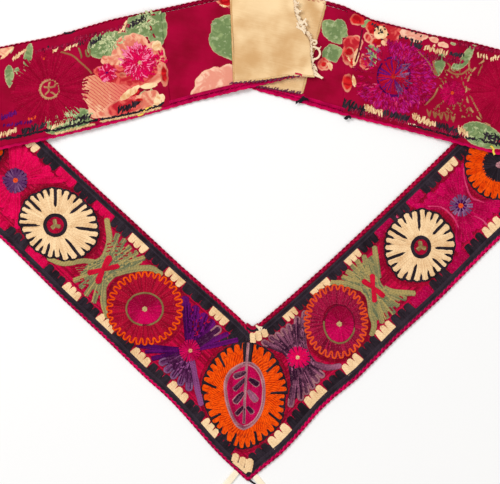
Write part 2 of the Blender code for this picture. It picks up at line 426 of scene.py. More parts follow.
Thread = namedtuple("Thread", "dark light roughness stitch worn gap")
SILKS = {
    "crimson": ((112, 2, 28), (184, 6, 52), 0.6, 4, 0.05, 0.4),
    "rose": ((126, 2, 30), (182, 10, 50), 0.6, 3, 0.08, 0.3),
    "red": ((168, 8, 36), (222, 24, 60), 0.55, 3, 0, 0.4),
    "black": ((28, 22, 28), (60, 50, 60), 0.6, 4, 0, 0.3),
    "cream": ((208, 158, 106), (253, 219, 172), 0.55, 3, 0, 0.3),
    "orange": ((202, 44, 0), (252, 90, 8), 0.55, 7, 0, 0.6),
    "coral": ((188, 46, 22), (240, 88, 36), 0.55, 2.4, 0, 0.4),
    "hot_pink": ((172, 0, 48), (230, 0, 82), 0.55, 3, 0.04, 0.3),
    "magenta": ((136, 0, 44), (208, 0, 86), 0.55, 3, 0.06, 0.35),
    "plum_red": ((104, 4, 36), (176, 18, 66), 0.6, 3, 0.14, 0.45),
    "violet": ((46, 0, 56), (108, 14, 110), 0.55, 3, 0.02, 0.45),
    "plum": ((44, 10, 38), (166, 96, 126), 0.6, 3, 0.12, 0.45),
    "mauve": ((104, 48, 72), (200, 142, 146), 0.6, 2.4, 0.2, 0.4),
    "sage": ((96, 108, 80), (176, 154, 94), 0.6, 3, 0.1, 0.5),
    "lavender": ((88, 42, 92), (170, 124, 160), 0.6, 2.4, 0.05, 0.3),
    "tan": ((150, 92, 60), (214, 170, 120), 0.6, 2.4, 0, 0.2),
    "pale_pink": ((198, 40, 92), (244, 128, 164), 0.6, 2, 0, 0.2),
    "orchid": ((144, 0, 78), (196, 34, 136), 0.6, 2, 0, 0.2),
    "pale_green": ((120, 150, 100), (206, 208, 156), 0.6, 2, 0, 0.2),
    "aubergine": ((56, 8, 52), (142, 72, 128), 0.6, 2.6, 0.08, 0.45),
    "olive": ((124, 100, 60), (198, 172, 118), 0.6, 2, 0, 0.3),
}
OTHER_THREADS = {
    "crimson_ground": ((132, 2, 36), (196, 4, 62), 0.6, 6, 0.05, 0.3),
    "edging_pink": ((126, 0, 44), (222, 4, 88), 0.6, 2.4, 0, 0.2),
    "edging_red": ((118, 2, 34), (190, 10, 62), 0.6, 2.4, 0, 0.2),
    "crimson_back": ((132, 0, 34), (172, 4, 54), 0.75, 3, 0.03, 0.15),
    "hem_cotton": ((204, 156, 102), (255, 228, 178), 0.85, 2, 0, 0.2),
    "frayed_cotton": ((214, 172, 132), (246, 224, 192), 0.8, 1.4, 0, 0.1),
    "loose_yellow": ((214, 176, 40), (250, 222, 96), 0.6, 2, 0, 0.2),
}


def full_name(thread):
    return f"{thread}_silk" if thread in SILKS else thread


def silk(name):
    """One colour of thread: its rows carry a shade, and a place along and across each row."""
    thread = Thread(*(SILKS.get(name) or OTHER_THREADS[name]))
    material, tree, sockets = new_material(full_name(name), thread.roughness)
    look = {"Stitch Length": thread.stitch, "Worn": thread.worn, "Gap": thread.gap}
    look.update({"Dark": (*eye(*thread.dark), 1), "Light": (*eye(*thread.light), 1)})
    surface = add(tree, "ShaderNodeGroup", look, node_tree=THREAD_SURFACE)
    plug(surface.outputs["Colour"], sockets["Base Color"])
    bumped(tree, sockets, surface.outputs["Relief"], 0.00012)
    return material


# ---- The stage ----

FLOOR_HALF = 6
FLOOR_DROP = 0.0002
CAMERA_HEIGHT = 2.2
CAMERA_Y = 0.164
SENSOR = 36
VIEW_WIDTH = 0.5  # what the picture shows from side to side
Light = namedtuple("Light", "name place size power")
LIGHTS = (Light("key", (-1.5, 1.6, 2.1), 1.3, 51), Light("fill", (1.8, -0.9, 2.3), 2, 16))


def placed(name, data, location):
    body = bpy.data.objects.new(name, data)
    body.location = location
    bpy.context.scene.collection.objects.link(body)
    return body


def stage():
    """A plain pale floor, a broad light from the upper left, and the camera straight above."""
    scene = bpy.context.scene
    scene.view_settings.view_transform = "Standard"
    mesh = bpy.data.meshes.new("floor")
    signs = ((-1, -1), (1, -1), (1, 1), (-1, 1))
    corners = [(x * FLOOR_HALF, y * FLOOR_HALF, -FLOOR_DROP) for x, y in signs]
    mesh.from_pydata(corners, [], [(0, 1, 2, 3)])
    paper, tree, sockets = new_material("pale_paper", 0.9, None)
    tones = noise(own_place(tree), 3, 2)
    plug(blended(tones, (0.9, 0.9, 0.9), (0.92, 0.915, 0.905)), sockets["Base Color"])
    mesh.materials.append(paper)
    placed("floor", mesh, (0, 0, 0))

    world = bpy.data.worlds.new("studio")
    world.use_nodes = True
    backdrop = world.node_tree.nodes["Background"].inputs
    backdrop["Color"].default_value = (1, 0.99, 0.98, 1)
    backdrop["Strength"].default_value = 0.6
    scene.world = world

    for row in LIGHTS:
        light = bpy.data.lights.new(row.name, "AREA")
        light.size = row.size
        light.energy = row.power
        lamp = placed(row.name, light, row.place)
        aim = Vector((0, 0.16, 0)) - Vector(row.place)
        lamp.rotation_euler = aim.to_track_quat("-Z", "Y").to_euler()

    view = bpy.data.cameras.new("camera")
    view.sensor_width = SENSOR
    view.lens = SENSOR * CAMERA_HEIGHT / VIEW_WIDTH
    scene.camera = placed("camera", view, (0, CAMERA_Y, CAMERA_HEIGHT))


# ---- Pieces ----


def piece(name, mesh, material):
    """A finished piece that moves with the band."""
    if material is not None:
        mesh.materials.clear()
        mesh.materials.append(material)
    body = placed(name, mesh, (0, 0, 0))
    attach(body, "root")
    return body


def number(mesh, name, values):
    """Gives each vertex of a mesh a number."""
    attribute = mesh.attributes.new(name, "FLOAT", "POINT")
    attribute.data.foreach_set("value", np.asarray(values, np.float32))


def moved(mesh, move):
    """Moves a mesh's vertices to where move() has them."""
    places = np.empty(len(mesh.vertices) * 3)
    mesh.vertices.foreach_get("co", places)
    mesh.vertices.foreach_set("co", move(places.reshape(-1, 3)).ravel())
    mesh.update()
    return mesh


# ---- Rows of thread ----


def rows_tree():
    """Sweeps a flattened profile along lines, to each line's own radius."""
    inputs = {"Lines": ("Geometry",), "Sides": ("Int", 4), "Flatness": ("Float", 0.5)}
    inputs.update({"Round": ("Float", 0.5), "Finish": ("Material",)})
    tree, given, out = group("rows_of_thread", "GeometryNodeTree", inputs, {"Rows": ("Geometry",)})

    def step(kind, inputs, output=0, **settings):
        return add(tree, f"GeometryNode{kind}", inputs, **settings).outputs[output]

    lines = step("SetCurveNormal", {"Curve": step("MeshToCurve", {0: given["Lines"]})}, mode="Z_UP")
    radius = step("InputNamedAttribute", {"Name": "radius"}, data_type="FLOAT")
    lines = step("SetCurveRadius", {"Curve": lines, "Radius": radius})
    sweep = Value(given["Round"]) * math.tau
    start = sweep * -0.5 - math.pi / 2
    arc = {"Resolution": given["Sides"], "Radius": 1, "Start Angle": start, "Sweep Angle": sweep}
    arc = step("CurveArc", arc, mode="RADIUS")
    flatness = add(tree, "ShaderNodeCombineXYZ", {0: 1, 1: given["Flatness"], 2: 1}).outputs[0]
    profile = step("Transform", {"Geometry": arc, "Scale": flatness})
    across = {"Geometry": profile, "Name": "across", "Value": step("SplineParameter", {}, "Factor")}
    profile = step("StoreNamedAttribute", across, domain="POINT")
    rows = step("CurveToMesh", {"Curve": lines, "Profile Curve": profile})
    for kind in ("SetShadeSmooth", "RealizeInstances"):
        rows = step(kind, {"Geometry": rows})
    plug(step("SetMaterial", {"Geometry": rows, "Material": given["Finish"]}), out["Rows"])
    return tree


ROWS_TREE = rows_tree()


def lengths(line):
    return np.append(0, np.cumsum(np.linalg.norm(np.diff(line[:, :2], axis=0), axis=1)))


def swept(name, rows, material, sides=4, flatness=0.5, roundness=0.5):
    """A mesh of rows of thread, still on the unfolded band. Each row is its points, radii and shades."""
    points, radii, shades = (np.concatenate(column) for column in zip(*rows))
    joined = np.ones(len(points), bool)
    joined[np.cumsum([len(row[0]) for row in rows]) - 1] = False
    first = np.flatnonzero(joined)
    mesh = bpy.data.meshes.new(name)
    mesh.vertices.add(len(points))
    mesh.vertices.foreach_set("co", points.ravel())
    mesh.edges.add(len(first))
    mesh.edges.foreach_set("vertices", np.column_stack([first, first + 1]).ravel())
    number(mesh, "radius", radii)
    number(mesh, "shade", shades)
    number(mesh, "along", np.concatenate([lengths(row[0]) + between(0, 20) for row in rows]))
    lines = placed(name, mesh, (0, 0, 0))
    modifier = lines.modifiers.new("rows", "NODES")
    modifier.node_group = ROWS_TREE
    values = {"Sides": sides, "Flatness": flatness, "Round": roundness, "Finish": material}
    for item in ROWS_TREE.interface.items_tree:
        if item.name in values and item.in_out == "INPUT":
            modifier[item.identifier] = values[item.name]
    lines.update_tag()
    graph = bpy.context.evaluated_depsgraph_get()
    made = bpy.data.meshes.new_from_object(lines.evaluated_get(graph))
    lines.modifiers.clear()
    bpy.data.objects.remove(lines)
    bpy.data.meshes.remove(mesh)
    made.name = name
    return made


def puckers(spots):
    """How far the lining stands proud: low folds on the strips, which lie loose, and hardly any on the V."""
    x, y = spots[:, 0], spots[:, 1]
    distance = np.hypot(x, y)
    to_seam = np.where(x < 0, LEFT.seam, RIGHT.seam) - distance
    loose = ease((distance - 440) / 60) * (1 - ease((8 - to_seam) / 8))
    waves = np.sin(x / 9.1 + 1.7 * np.sin(y / 23)) * np.sin(y / 7.3 + 1.3 * np.sin(x / 31))
    long_waves = np.sin(x / 27 + y / 41) * np.sin(y / 33 - x / 53)
    return 0.1 * waves * loose + loose * (0.28 + 0.28 * long_waves)


def turned_under(points):
    points[:, 2] = -points[:, 2] - puckers(points[:, :2])
    return laid(points)


def folded(mesh, under=False):
    """Brings a mesh from the unfolded band to the folded one, or to its back."""
    if under:
        mesh.flip_normals()
    return moved(mesh, turned_under if under else laid)


face_rows = defaultdict(list)
back_rows = defaultdict(list)


def cut(line, wanted):
    """The line's points at the wanted lengths."""
    runs = lengths(line)
    return np.column_stack([np.interp(wanted, runs, column) for column in line.T])


def sew(thread, line, height, radius, shade=0.5, rows=face_rows, step=STITCH_STEP):
    """One row of thread along a line, with narrower ends. A radius or shade can change along it."""
    line = np.asarray(line, float)
    size = len(line)
    line = np.column_stack([line[:, :2], np.broadcast_to(radius, size), np.broadcast_to(shade, size)])
    total = lengths(line)[-1]
    if total < 0.4:
        return
    inset = min(0.7 * line[:, 2].mean(), 0.25 * total)
    middle = np.linspace(inset, total - inset, max(1, round((total - 2 * inset) / step)) + 1)
    points = cut(line, np.concatenate([[0], middle, [total]]))
    points[[0, -1], 2] *= 0.35
    points[1:-1, :2] += chance.normal(0, HAND, (len(points) - 2, 2))
    heights = np.full(len(points), height + stray(0.02))
    rows[thread].append((np.column_stack([points[:, :2], heights]), points[:, 2], points[:, 3]))


def ruled(
    thread, left, right, height, rounded=(0, 0), pitch=ROW_PITCH, shade=0.5, variety=0.22, full=1, **more
):
    """Rows side by side between two boundary lines.

    rounded gives how far the outermost rows' ends draw back at the start and at the finish, and full is how
    much of its room a row fills."""
    left, right = np.asarray(left, float), np.asarray(right, float)
    gap = np.linalg.norm(right - left, axis=1)
    count = max(1, round(float(gap.max()) / pitch))
    for index in range(count):
        share = (index + 0.5) / count
        line = left + (right - left) * share
        edge = 1 - math.sqrt(1 - (2 * share - 1) ** 2)
        radius = np.maximum(gap / (2 * count) * ROW_LAP * full, 0.16)
        table = np.column_stack([line, radius, np.broadcast_to(shade, len(line))])
        start, finish = rounded[0] * edge, lengths(table)[-1] - rounded[1] * edge
        if finish - start < 0.8:
            continue
        table = cut(table, np.linspace(start, finish, len(line)))
        tone = table[:, 3] + stray(variety)
        sew(thread, table[:, :2], height, table[:, 2], tone, **more)


def curve(points, count=24):
    """A smooth line through points."""
    points = np.asarray(points, float)
    if len(points) == 2:
        return points[0] + np.outer(np.linspace(0, 1, count), points[1] - points[0])
    ends = np.vstack([2 * points[0] - points[1], points, 2 * points[-1] - points[-2]])
    spans = len(points) - 1
    line = []
    for place in np.linspace(0, spans, count):
        i = min(int(place), spans - 1)
        t = place - i
        a, b, c, d = ends[i : i + 4]
        bend, turn = 2 * a - 5 * b + 4 * c - d, 3 * b - a - 3 * c + d
        line.append(0.5 * (2 * b + (c - a) * t + bend * t**2 + turn * t**3))
    return np.array(line)


def sideways(line):
    """Unit vectors square to a line, to its left."""
    slope = np.gradient(line, axis=0)
    slope /= np.linalg.norm(slope, axis=1)[:, None]
    return np.column_stack([-slope[:, 1], slope[:, 0]])


def petal(thread, spine, widths, height, tip=None, root=0, count=24, **more):
    """Rows along a spine. widths are full widths at even steps of it, and tip rounds its far end."""
    line = curve(spine, count)
    runs = lengths(line)
    width = np.interp(runs / runs[-1], np.linspace(0, 1, len(widths)), widths)
    aside = sideways(line) * width[:, None] / 2
    tip = width[-1] / 2 if tip is None else tip
    ruled(thread, line - aside, line + aside, height, (root, tip), **more)


Oval = namedtuple("Oval", "x y half_width half_height turn")
Round = namedtuple("Round", "x y radii")  # its radii are 30 degrees apart, from the X axis on
EVERY_30 = np.arange(0, 360, 30)


def circle(x, y, radius):
    return Oval(x, y, radius, radius, 0)


def rim(oval, angle):
    """The radius of an oval or of a round shape in a direction."""
    if isinstance(oval, Round):
        return np.interp(angle, EVERY_30, oval.radii, period=360)
    turned = np.radians(np.asarray(angle, float) - oval.turn)
    return 1 / np.hypot(np.cos(turned) / oval.half_width, np.sin(turned) / oval.half_height)


def polar(oval, angle, radius):
    turned = np.radians(angle)
    return np.column_stack([oval.x + radius * np.cos(turned), oval.y + radius * np.sin(turned)])


def rim_line(oval, angles):
    return polar(oval, angles, rim(oval, angles))


def larger(oval, by):
    if isinstance(oval, Round):
        return oval._replace(radii=tuple(radius + by for radius in oval.radii))
    return oval._replace(half_width=oval.half_width + by, half_height=oval.half_height + by)


def scaled(shape, share):
    return shape._replace(radii=tuple(radius * share for radius in shape.radii))


def ring(thread, oval, height, radius, shade=0.5, start=0, finish=360, **more):
    """One row round an oval."""
    angles = np.linspace(start, finish, max(12, int(abs(finish - start) / 6)))
    sew(thread, rim_line(oval, angles), height, radius, shade, **more)


def radial(
    thread, inner, outer, height, shade=0.5, variety=0.22, pitch=ROW_PITCH, painted_sheen=0, twist=0, stripe=0
):
    """Rows that run out from one oval to another round the same middle.

    painted_sheen paints those on the lower side brighter and those on the upper side darker, as light catches
    the silk; stripe makes every other one brighter, and twist turns their outer ends."""
    count = max(3, round(math.tau * float(np.mean(rim(outer, EVERY_30))) / pitch))
    for index in range(count):
        angle = 360 * (index + 0.5) / count
        radii = np.linspace(rim(inner, angle), rim(outer, angle + twist), 6)
        line = polar(outer, angle + twist * np.linspace(0, 1, 6), radii)
        # painted sheen: brighter towards the lower side, darker towards the upper
        tone = shade + painted_sheen * math.cos(math.radians(angle + 90)) + stray(variety)
        tone += stripe * (-1) ** index
        sew(thread, line, height, np.maximum(math.tau * radii / count / 2 * ROW_LAP, 0.14), tone)


Notch = namedtuple("Notch", "angle depth half flare")  # half its width, and how much more it has at the rim


def notches_round(long_ones, shorts, short):
    """Long notches in order of angle, with so many short ones spread between each and the next."""
    notches = []
    for index, (notch, count) in enumerate(zip(long_ones, shorts)):
        span = (long_ones[(index + 1) % len(long_ones)].angle - notch.angle) % 360
        notches.append(notch)
        for place in range(count):
            depth = short.depth * between(0.85, 1.15)
            notches.append(short._replace(angle=notch.angle + span * (place + 1) / (count + 1), depth=depth))
    return notches


def notched(thread, oval, notches, inner_share, height, parted=1, tip=2.6, grow=0, uneven=0, **more):
    """Fingers that run out to an oval and are parted by notches.

    uneven is how much longer or shorter a finger may be, and with parted at 0 the notches are closed."""
    for notch, following in zip(notches, notches[1:] + notches[:1]):
        start, finish = notch.angle, notch.angle + (following.angle - notch.angle) % 360
        middle = (start + finish) / 2
        length = rim(oval, middle) + uneven * math.sin(middle * 0.73)
        radii = np.linspace(length * inner_share, length + grow, 16)
        sides = []
        for angle, own, way in ((start, notch, 1), (finish, following, -1)):
            past = radii - (length - own.depth)
            opened = own.half * ease(past / 1.6) + own.flare * np.clip(past / own.depth, 0, 1.2)
            sides.append(polar(oval, angle + way * np.degrees((opened * parted - grow) / radii), radii))
        ruled(thread, *sides, height, (0, tip), **more)


def scallops(thread, oval, count, depth, height, radius, shade):
    """A looped line round an oval, like a row of open round loops."""
    angles = np.linspace(0, 360, count * 14 + 1)
    uneven = 1 + 0.1 * np.sin(np.radians(angles * 3 + 40)) + 0.1 * np.sin(np.radians(angles * 7))
    wave = np.tanh(2.4 * (np.cos(np.radians(angles) * count) + 0.3))
    radii = rim(oval, angles) - depth * uneven * (0.5 - 0.5 * wave)
    sew(thread, polar(oval, angles, radii), height, radius, shade, step=0.8)


def bloom(thread, oval, petals, height, shade=0.5, start=0, width=1):
    """A small flower of narrow petals."""
    middle = np.array((oval.x, oval.y))
    for index in range(petals):
        angle = start + 360 * index / petals
        length = rim(oval, angle) * between(0.92, 1.06)
        broad = math.tau * length / petals * width
        spine = (middle + flat(angle) * length * 0.12, middle + flat(angle) * length)
        widths = (broad * 0.2, broad * 0.75, broad)
        petal(thread, spine, widths, height, shade=shade, count=8, pitch=broad / 2.4)


# ---- Ground and borders ----

BEND_STEPS = 10
ARM_STEP = 10
STRIP_STEP = 8


def sections(arm, finish, arm_step=ARM_STEP, strip_step=STRIP_STEP):
    """Distances from the corner to a finish, closer together in the crease."""
    crease = CREASES[arm.name]
    ends = (0, crease.start, crease.finish, finish)
    last = max(1, round((finish - crease.finish) / strip_step))
    counts = (round(crease.start / arm_step), BEND_STEPS, last)
    parts = [np.linspace(a, b, count + 1) for a, b, count in zip(ends, ends[1:], counts)]
    return np.concatenate([parts[0], parts[1][1:], parts[2][1:]])


# Each edge's depths from its outside: of the edging that shows, the dark rows' start, the blocks' two ends
Depths = namedtuple("Depths", "edging rows base tip")
DEPTHS = {
    ("left", OUTER): Depths(2.4, 2.5, 7.2, 16.6),
    ("left", INNER): Depths(3.8, 4.1, 8.2, 17.9),
    ("right", OUTER): Depths(3.6, 3.9, 8.6, 19.8),
    ("right", INNER): Depths(4.4, 5.5, 9.2, 18.4),
}
EDGE_ROWS = 4


def edge_depth(arm, distance, column, side):
    """A depth from an edge: the arm's own, and the mean of both at the corner."""
    own, left, right = (getattr(DEPTHS[name, side], column) for name in (arm.name, "left", "right"))
    mean = (left + right) / 2
    return mean + (own - mean) * ease(distance / CORNER_BLEND)


def whole_row(across_at, left_finish=LEFT.seam - 1, right_finish=RIGHT.seam - 1):
    """Spots along the whole band, from the left arm's finish round the corner to the right arm's."""
    lines = []
    for arm, finish in ((LEFT, left_finish), (RIGHT, right_finish)):
        distance = sections(arm, finish)
        lines.append(on_cross_line(arm, distance, across_at(arm, distance)))
    return np.vstack([lines[0][::-1], lines[1][1:]])


def lay(thread, line, height, radius, shade):
    """A row that keeps the line's own points."""
    size = len(line)
    shades = np.clip(np.broadcast_to(shade, size), 0, 1)
    face_rows[thread].append((np.column_stack([line, np.full(size, height)]), np.full(size, radius), shades))


def ground():
    """Crimson rows along the whole band, and the black rows beside its edging."""
    for index in range(GROUND_ROWS):
        share = (index + 0.5) / GROUND_ROWS

        def ground_across(arm, distance):
            outer = GROUND_MARGIN - reach(arm, distance, OUTER)
            inner = reach(arm, distance, INNER) - GROUND_MARGIN
            return outer + (inner - outer) * share

        line = whole_row(ground_across)
        wave = np.cumsum(stray(0.16, len(line)))
        shade = 0.5 + stray(0.2) + 0.5 * np.sin(wave)
        lay("crimson_ground", line, GROUND + between(0, 0.05), 0.78, shade)
    for side in (INNER, OUTER):
        for index in range(EDGE_ROWS):
            share = index / (EDGE_ROWS - 1)

            def edge_across(arm, distance):
                start = edge_depth(arm, distance, "rows", side)
                base = edge_depth(arm, distance, "base", side) - 0.2
                return side * (reach(arm, distance, side) - (start + (base - start) * share))

            lay("black", whole_row(edge_across), BORDER + 0.12, 0.74, 0.4 + between(-0.15, 0.25))


# By edge: its blocks' colours, K for black, C for cream, R for crimson, and their starts along the arm
EDGES = (
    (LEFT, INNER, "KCKCKCKRKRKC", (50, 73, 96, 131, 155, 181, 205, 228, 253, 279, 303, 329, 352)),
    (LEFT, OUTER, "KCKCKCKCKCKRKR", (-19, 3, 25, 49, 75, 101, 125, 149, 173, 197, 219, 244, 271, 298, 323)),
    (RIGHT, INNER, "KCKCKCKRKRKCK", (63, 84, 101, 121, 145, 167, 187, 209, 231, 253, 273, 297, 320, 339)),
    (RIGHT, OUTER, "KCKCKCKCKRKRKC", (-37, -13, 15, 41, 67, 91, 115, 139, 161, 187, 213, 237, 263, 287, 311)),
)
Block = namedtuple("Block", "thread gap slit shade")
BLOCKS = {
    "K": Block("black", 0.2, 0.7, 0.35),
    "C": Block("cream", 0.9, 0.95, 0.62),
    "R": Block("hot_pink", 0.9, 0.35, 0.5),
}
BLOCK_PITCH = 24
BLOCK_FINGERS = 3


def finger_across(arm, side, thread, start, finish, slit, shade):
    """One finger of a block, from the edging's black rows towards the middle of the band."""
    own = DEPTHS[arm.name, side]
    base, tip = own.base - 0.6, own.tip + stray(0.5)
    depth = np.linspace(base, tip, 10)
    parted = slit * np.clip(((depth - base) / (tip - base) - 0.4) / 0.5, 0, 1)
    sides = []
    for distance, way in ((start, 1), (finish, -1)):
        place = distance + way * (parted + (depth - base) * 0.04)
        sides.append(spot(arm, place, side * (half_width(arm, distance, side) - depth)))
    ruled(thread, *sides[::-side], BORDER, (0, 2.2), shade=shade, variety=0.12)


def borders():
    for arm, side, colours, starts in EDGES:
        starts, colours = list(starts), list(colours)
        seam = arm.seam + arm.seam_slant * side * half_width(arm, arm.seam, side) - 1
        while starts[-1] + BLOCK_PITCH < seam:
            starts.append(starts[-1] + BLOCK_PITCH)
            colours.append("C" if colours[-1] == "K" else "K")
        for colour, start, finish in zip(colours, starts, starts[1:]):
            block = BLOCKS[colour]
            pitch = (finish - start - 2 * block.gap) / BLOCK_FINGERS
            shade = block.shade + stray(0.12)
            thread = "magenta" if colour == "R" and arm is RIGHT else block.thread
            for index in range(BLOCK_FINGERS):
                near = start + block.gap + index * pitch
                finger_across(arm, side, thread, near, near + pitch, block.slit, shade)


def corner_blocks():
    """The fingers in the point of the V and in its inner corner."""
    black = (
        (-27, 68, -24, 60), (-19, 72, -17, 62), (-11, 74, -10, 63), (-4, 74, -4.5, 63),
        (9, -61, 7, -48), (15, -55, 12, -43), (21, -50, 18, -39), (-28, -49, -24, -38),
    )
    for x, y, tip_x, tip_y in black:
        petal("black", ((x, y), (tip_x, tip_y)), (7.4, 7.6, 7), BORDER - 0.06, tip=2.5, shade=0.35)
    cream = (
        (-15.9, -55.4, -13.4, -47.4, 6.4), (-9.4, -60.4, -6.4, -50.8, 6.2), (-2.2, -65.4, 0.4, -52.2, 7.6),
        (2.6, 72, 2.9, 62.6, 5.6), (8.2, 73.8, 9.2, 65.2, 5.4), (13.6, 76, 16.2, 69, 5.6),
    )
    for x, y, tip_x, tip_y, width in cream:
        look = {"tip": width * 0.42, "shade": 0.6, "variety": 0.12}
        petal("cream", ((x, y), (tip_x, tip_y)), (width, width * 1.02, width * 0.84), BORDER + 0.2, **look)
    for x, y, to_x, to_y, width in ((-17, -55, -2.8, -66.2, 3.4), (0.4, 71.6, 15.2, 76.2, 2.6)):
        petal("cream", ((x, y), (to_x, to_y)), (2.6, width, width), BORDER + 0.22, tip=0.5, shade=0.6)
    for depth in (0, 1.1, 2.3, 3.6, 4.6):
        corner = ((-3.2, 82.9 - depth), (2.6, 79 - depth), (8.4, 82.4 - depth))
        sew("edging_red" if depth < 3 else "black", curve(corner, 12), 0.75, 0.7, 0.5 + stray(0.3))


# ---- Motifs ----


def cream_rosette(oval, heart, cuts, shorts):
    """A round cream flower of fingers with a black ring round its heart. A cut is its angle and depth."""
    long_ones = [Notch(angle, depth, 1.75, 0) for angle, depth in cuts]
    notches = notches_round(long_ones, shorts, Notch(0, 7.8, 1.3, 0.45))
    closed = {"parted": 0, "grow": 2, "tip": 4.6, "pitch": 0.9}
    notched("black", oval, notches, 0.5, UNDERLAY, shade=0.3, uneven=0.7, **closed)
    radial("black", larger(heart, -2), scaled(oval, 0.55), UNDERLAY, shade=0.3)
    radial("cream", larger(heart, -0.6), scaled(oval, 0.42), ROSETTE, shade=0.6, variety=0.18)
    notched("cream", oval, notches, 0.4, ROSETTE, tip=2.2, shade=0.62, variety=0.16, uneven=0.7)
    for inset in (0.2, 1.3, 2.2):
        ring("black", larger(heart, -inset), ORNAMENT, 0.75, 0.35)
    radial("crimson", circle(heart.x, heart.y, 1.2), larger(heart, -2.8), ROSETTE, shade=0.55)
    middle = np.array((heart.x, heart.y))
    for index, length in enumerate((6.2, 5, 5.4)):
        spine = (middle, middle + flat(100 + 120 * index) * length)
        petal("olive", spine, (1.6, 3.4, 3), LINE, shade=0.35, tip=1.5)


def pink_rosette(oval, disc, thread, loops, loop_thread, olive_start, olive_finish):
    """A round flower with a looped edge and a bright disc."""
    radial(thread, larger(disc, -1), larger(oval, -2), ROSETTE, shade=0.5, variety=0.3)
    ring(thread, larger(oval, -1.8), UNDERLAY, 0.9, 0.3)
    scallops(loop_thread, larger(oval, -0.7), loops, 5.8, ORNAMENT, 0.72, 0.6)
    heart = disc._replace(half_width=1.2, half_height=1.2)
    # The disc's rows carry painted sheen: bright at the bottom, dark at the top
    radial("magenta", heart, disc, ROSETTE + 0.06, shade=0.42, painted_sheen=0.36, variety=0.2)
    ring("plum_red", larger(disc, 0.4), ORNAMENT - 0.03, 0.5, 0)
    ring("olive", larger(disc, 0.8), LINE, 0.13, 0.15, olive_start, olive_finish)
    bloom("olive", circle(disc.x, disc.y, 2.6), 6, LINE, 0.8)


def fan(thread, middle, tips, height, width, shades=(0.3, 0.5, 0.7), gaps=0, **more):
    """Fingers that spread from a middle to their tips: whole up to their notches, and parted beyond.

    gaps is how much of the rows' room is left bare half-way out."""
    middle = np.array(middle, float)
    offsets = np.array(tips, float) - middle
    reaches = np.linalg.norm(offsets, axis=1)
    angles = np.unwrap(np.arctan2(offsets[:, 1], offsets[:, 0]))
    order = list(np.argsort(angles))
    for place, index in enumerate(order):
        own, length = angles[index], reaches[index]
        parts = (np.linspace(3, length - 7.4, 14), np.linspace(length - 9.5, length, 8))
        for radii, whole in zip(parts, (True, False)):
            spread = np.arcsin(np.minimum(width / 2 / radii, 1))
            bounds = []
            for way, outermost in ((-1, place == 0), (1, place + 1 == len(order))):
                share = np.minimum(spread, 0.5)
                if not outermost:
                    share = np.full(len(radii), abs(angles[order[place + way]] - own) / 2)
                bounds.append(own + way * (share if whole else np.minimum(share, spread)))
            low, high = [middle + np.column_stack([np.cos(a), np.sin(a)]) * radii[:, None] for a in bounds]
            shade = np.interp(radii / length, (0, 0.6, 1), shades)
            tip = 0.6 if whole else width * 0.5
            bare = np.interp(radii / length, (0.3, 0.5, 0.8, 0.95), (0, 1, 1, 0)) * gaps
            level = height + (0 if whole else 0.02)
            ruled(thread, high, low, level, (0, tip), shade=shade, full=1 - bare, **more)


def tendril(thread, points, width, shades=(0.5, 0.75)):
    """A curling arm of an X flower."""
    widths = (width * 0.7, width, width * 0.8)
    petal(thread, points, widths, LEAF + 0.08, shade=np.linspace(*shades, 24), tip=width * 0.45)


def flecked(thread, first, second, height, count):
    """Short stitches, light and dark, scattered between two side lines and nearly along them."""
    sides = curve(first, 30), curve(second, 30)
    for _ in range(count):
        place, share = int(between(2, 27)), between(0.06, 0.94)
        start, finish = (sides[0][i] * (1 - share) + sides[1][i] * share for i in (place, place + 1))
        slope = math.degrees(math.atan2(*(finish - start)[::-1])) + stray(16)
        way = flat(slope) * between(0.8, 1.6)
        sew(thread, [start - way, start, start + way], height, 0.42, chance.choice((0, 0.95)), step=1)


def hourglass(thread, first, second, flecks, **more):
    """Rows from one end of an X flower through its waist to the other, between its two side lines."""
    ruled(thread, curve(first, 30), curve(second, 30), LEAF, (1.5, 1.5), **more)
    flecked(thread, first, second, LEAF + 0.12, flecks)


def fingers(thread, middle, tips, height, width, share=0.45, line=None, **more):
    """Single fingers from part of the way out to their tips, with an outline of another thread."""
    middle = np.array(middle, float)
    for tip in tips:
        out = np.array(tip, float) - middle
        length = np.linalg.norm(out)
        widths = (width * 0.8, width, width * 0.96)
        petal(thread, (middle + out * share, tip), widths, height, tip=width * 0.5, count=12, **more)
        if line:
            way, half = out / length, width / 2 - 0.3
            aside = np.array((-way[1], way[0]))
            turns = np.radians(np.linspace(-90, 90, 9))[:, None]
            arch = middle + way * (length - half + half * np.cos(turns)) + aside * half * np.sin(turns)
            feet = [middle + way * (length - width * 1.3) + aside * half * side for side in (-0.9, 0.9)]
            sew(line, np.vstack([feet[:1], arch, feet[1:]]), height + 0.24, 0.34, 0.4, step=1.4)


CREAM_LEFT = Round(-194.5, 180.8, (42.6, 37.5, 35.8, 36.5, 36.8, 38, 35, 31, 31.5, 32, 38.5, 43.6))
CREAM_RIGHT = Round(170.8, 159, (33.4, 33.8, 35.8, 37.6, 35.8, 36.1, 35.5, 36.3, 37, 33.4, 30.8, 31.7))
PINK_LEFT = Oval(-105.1, 97.8, 38.6, 37, 10)
PINK_RIGHT = Oval(86, 84.5, 32.3, 37.3, 0)
MEDALLION = Round(-5.9, 9.3, (40.7, 45, 51.2, 53.5, 49.3, 44.5, 40.6, 38.6, 43, 52, 45.6, 42.5))
ORANGE_RIGHT = circle(249, 241, 34)
ORANGE_LEFT = circle(-281, 265, 36)


def cream_rosettes():
    cuts = ((90, 19), (136, 18), (180, 18.5), (226, 13), (253, 13), (308, 24), (353, 23), (398, 18))
    cream_rosette(CREAM_LEFT, Oval(-194.5, 180.8, 11.6, 11.4, 0), cuts, (3, 3, 2, 1, 3, 3, 3, 3))
    cuts = ((94, 20), (149, 20), (200, 19.5), (255, 17), (316, 15), (357, 19.5), (406, 18.5))
    cream_rosette(CREAM_RIGHT, Oval(170.8, 159, 9.8, 11, 0), cuts, (3, 3, 3, 3, 2, 2, 3))


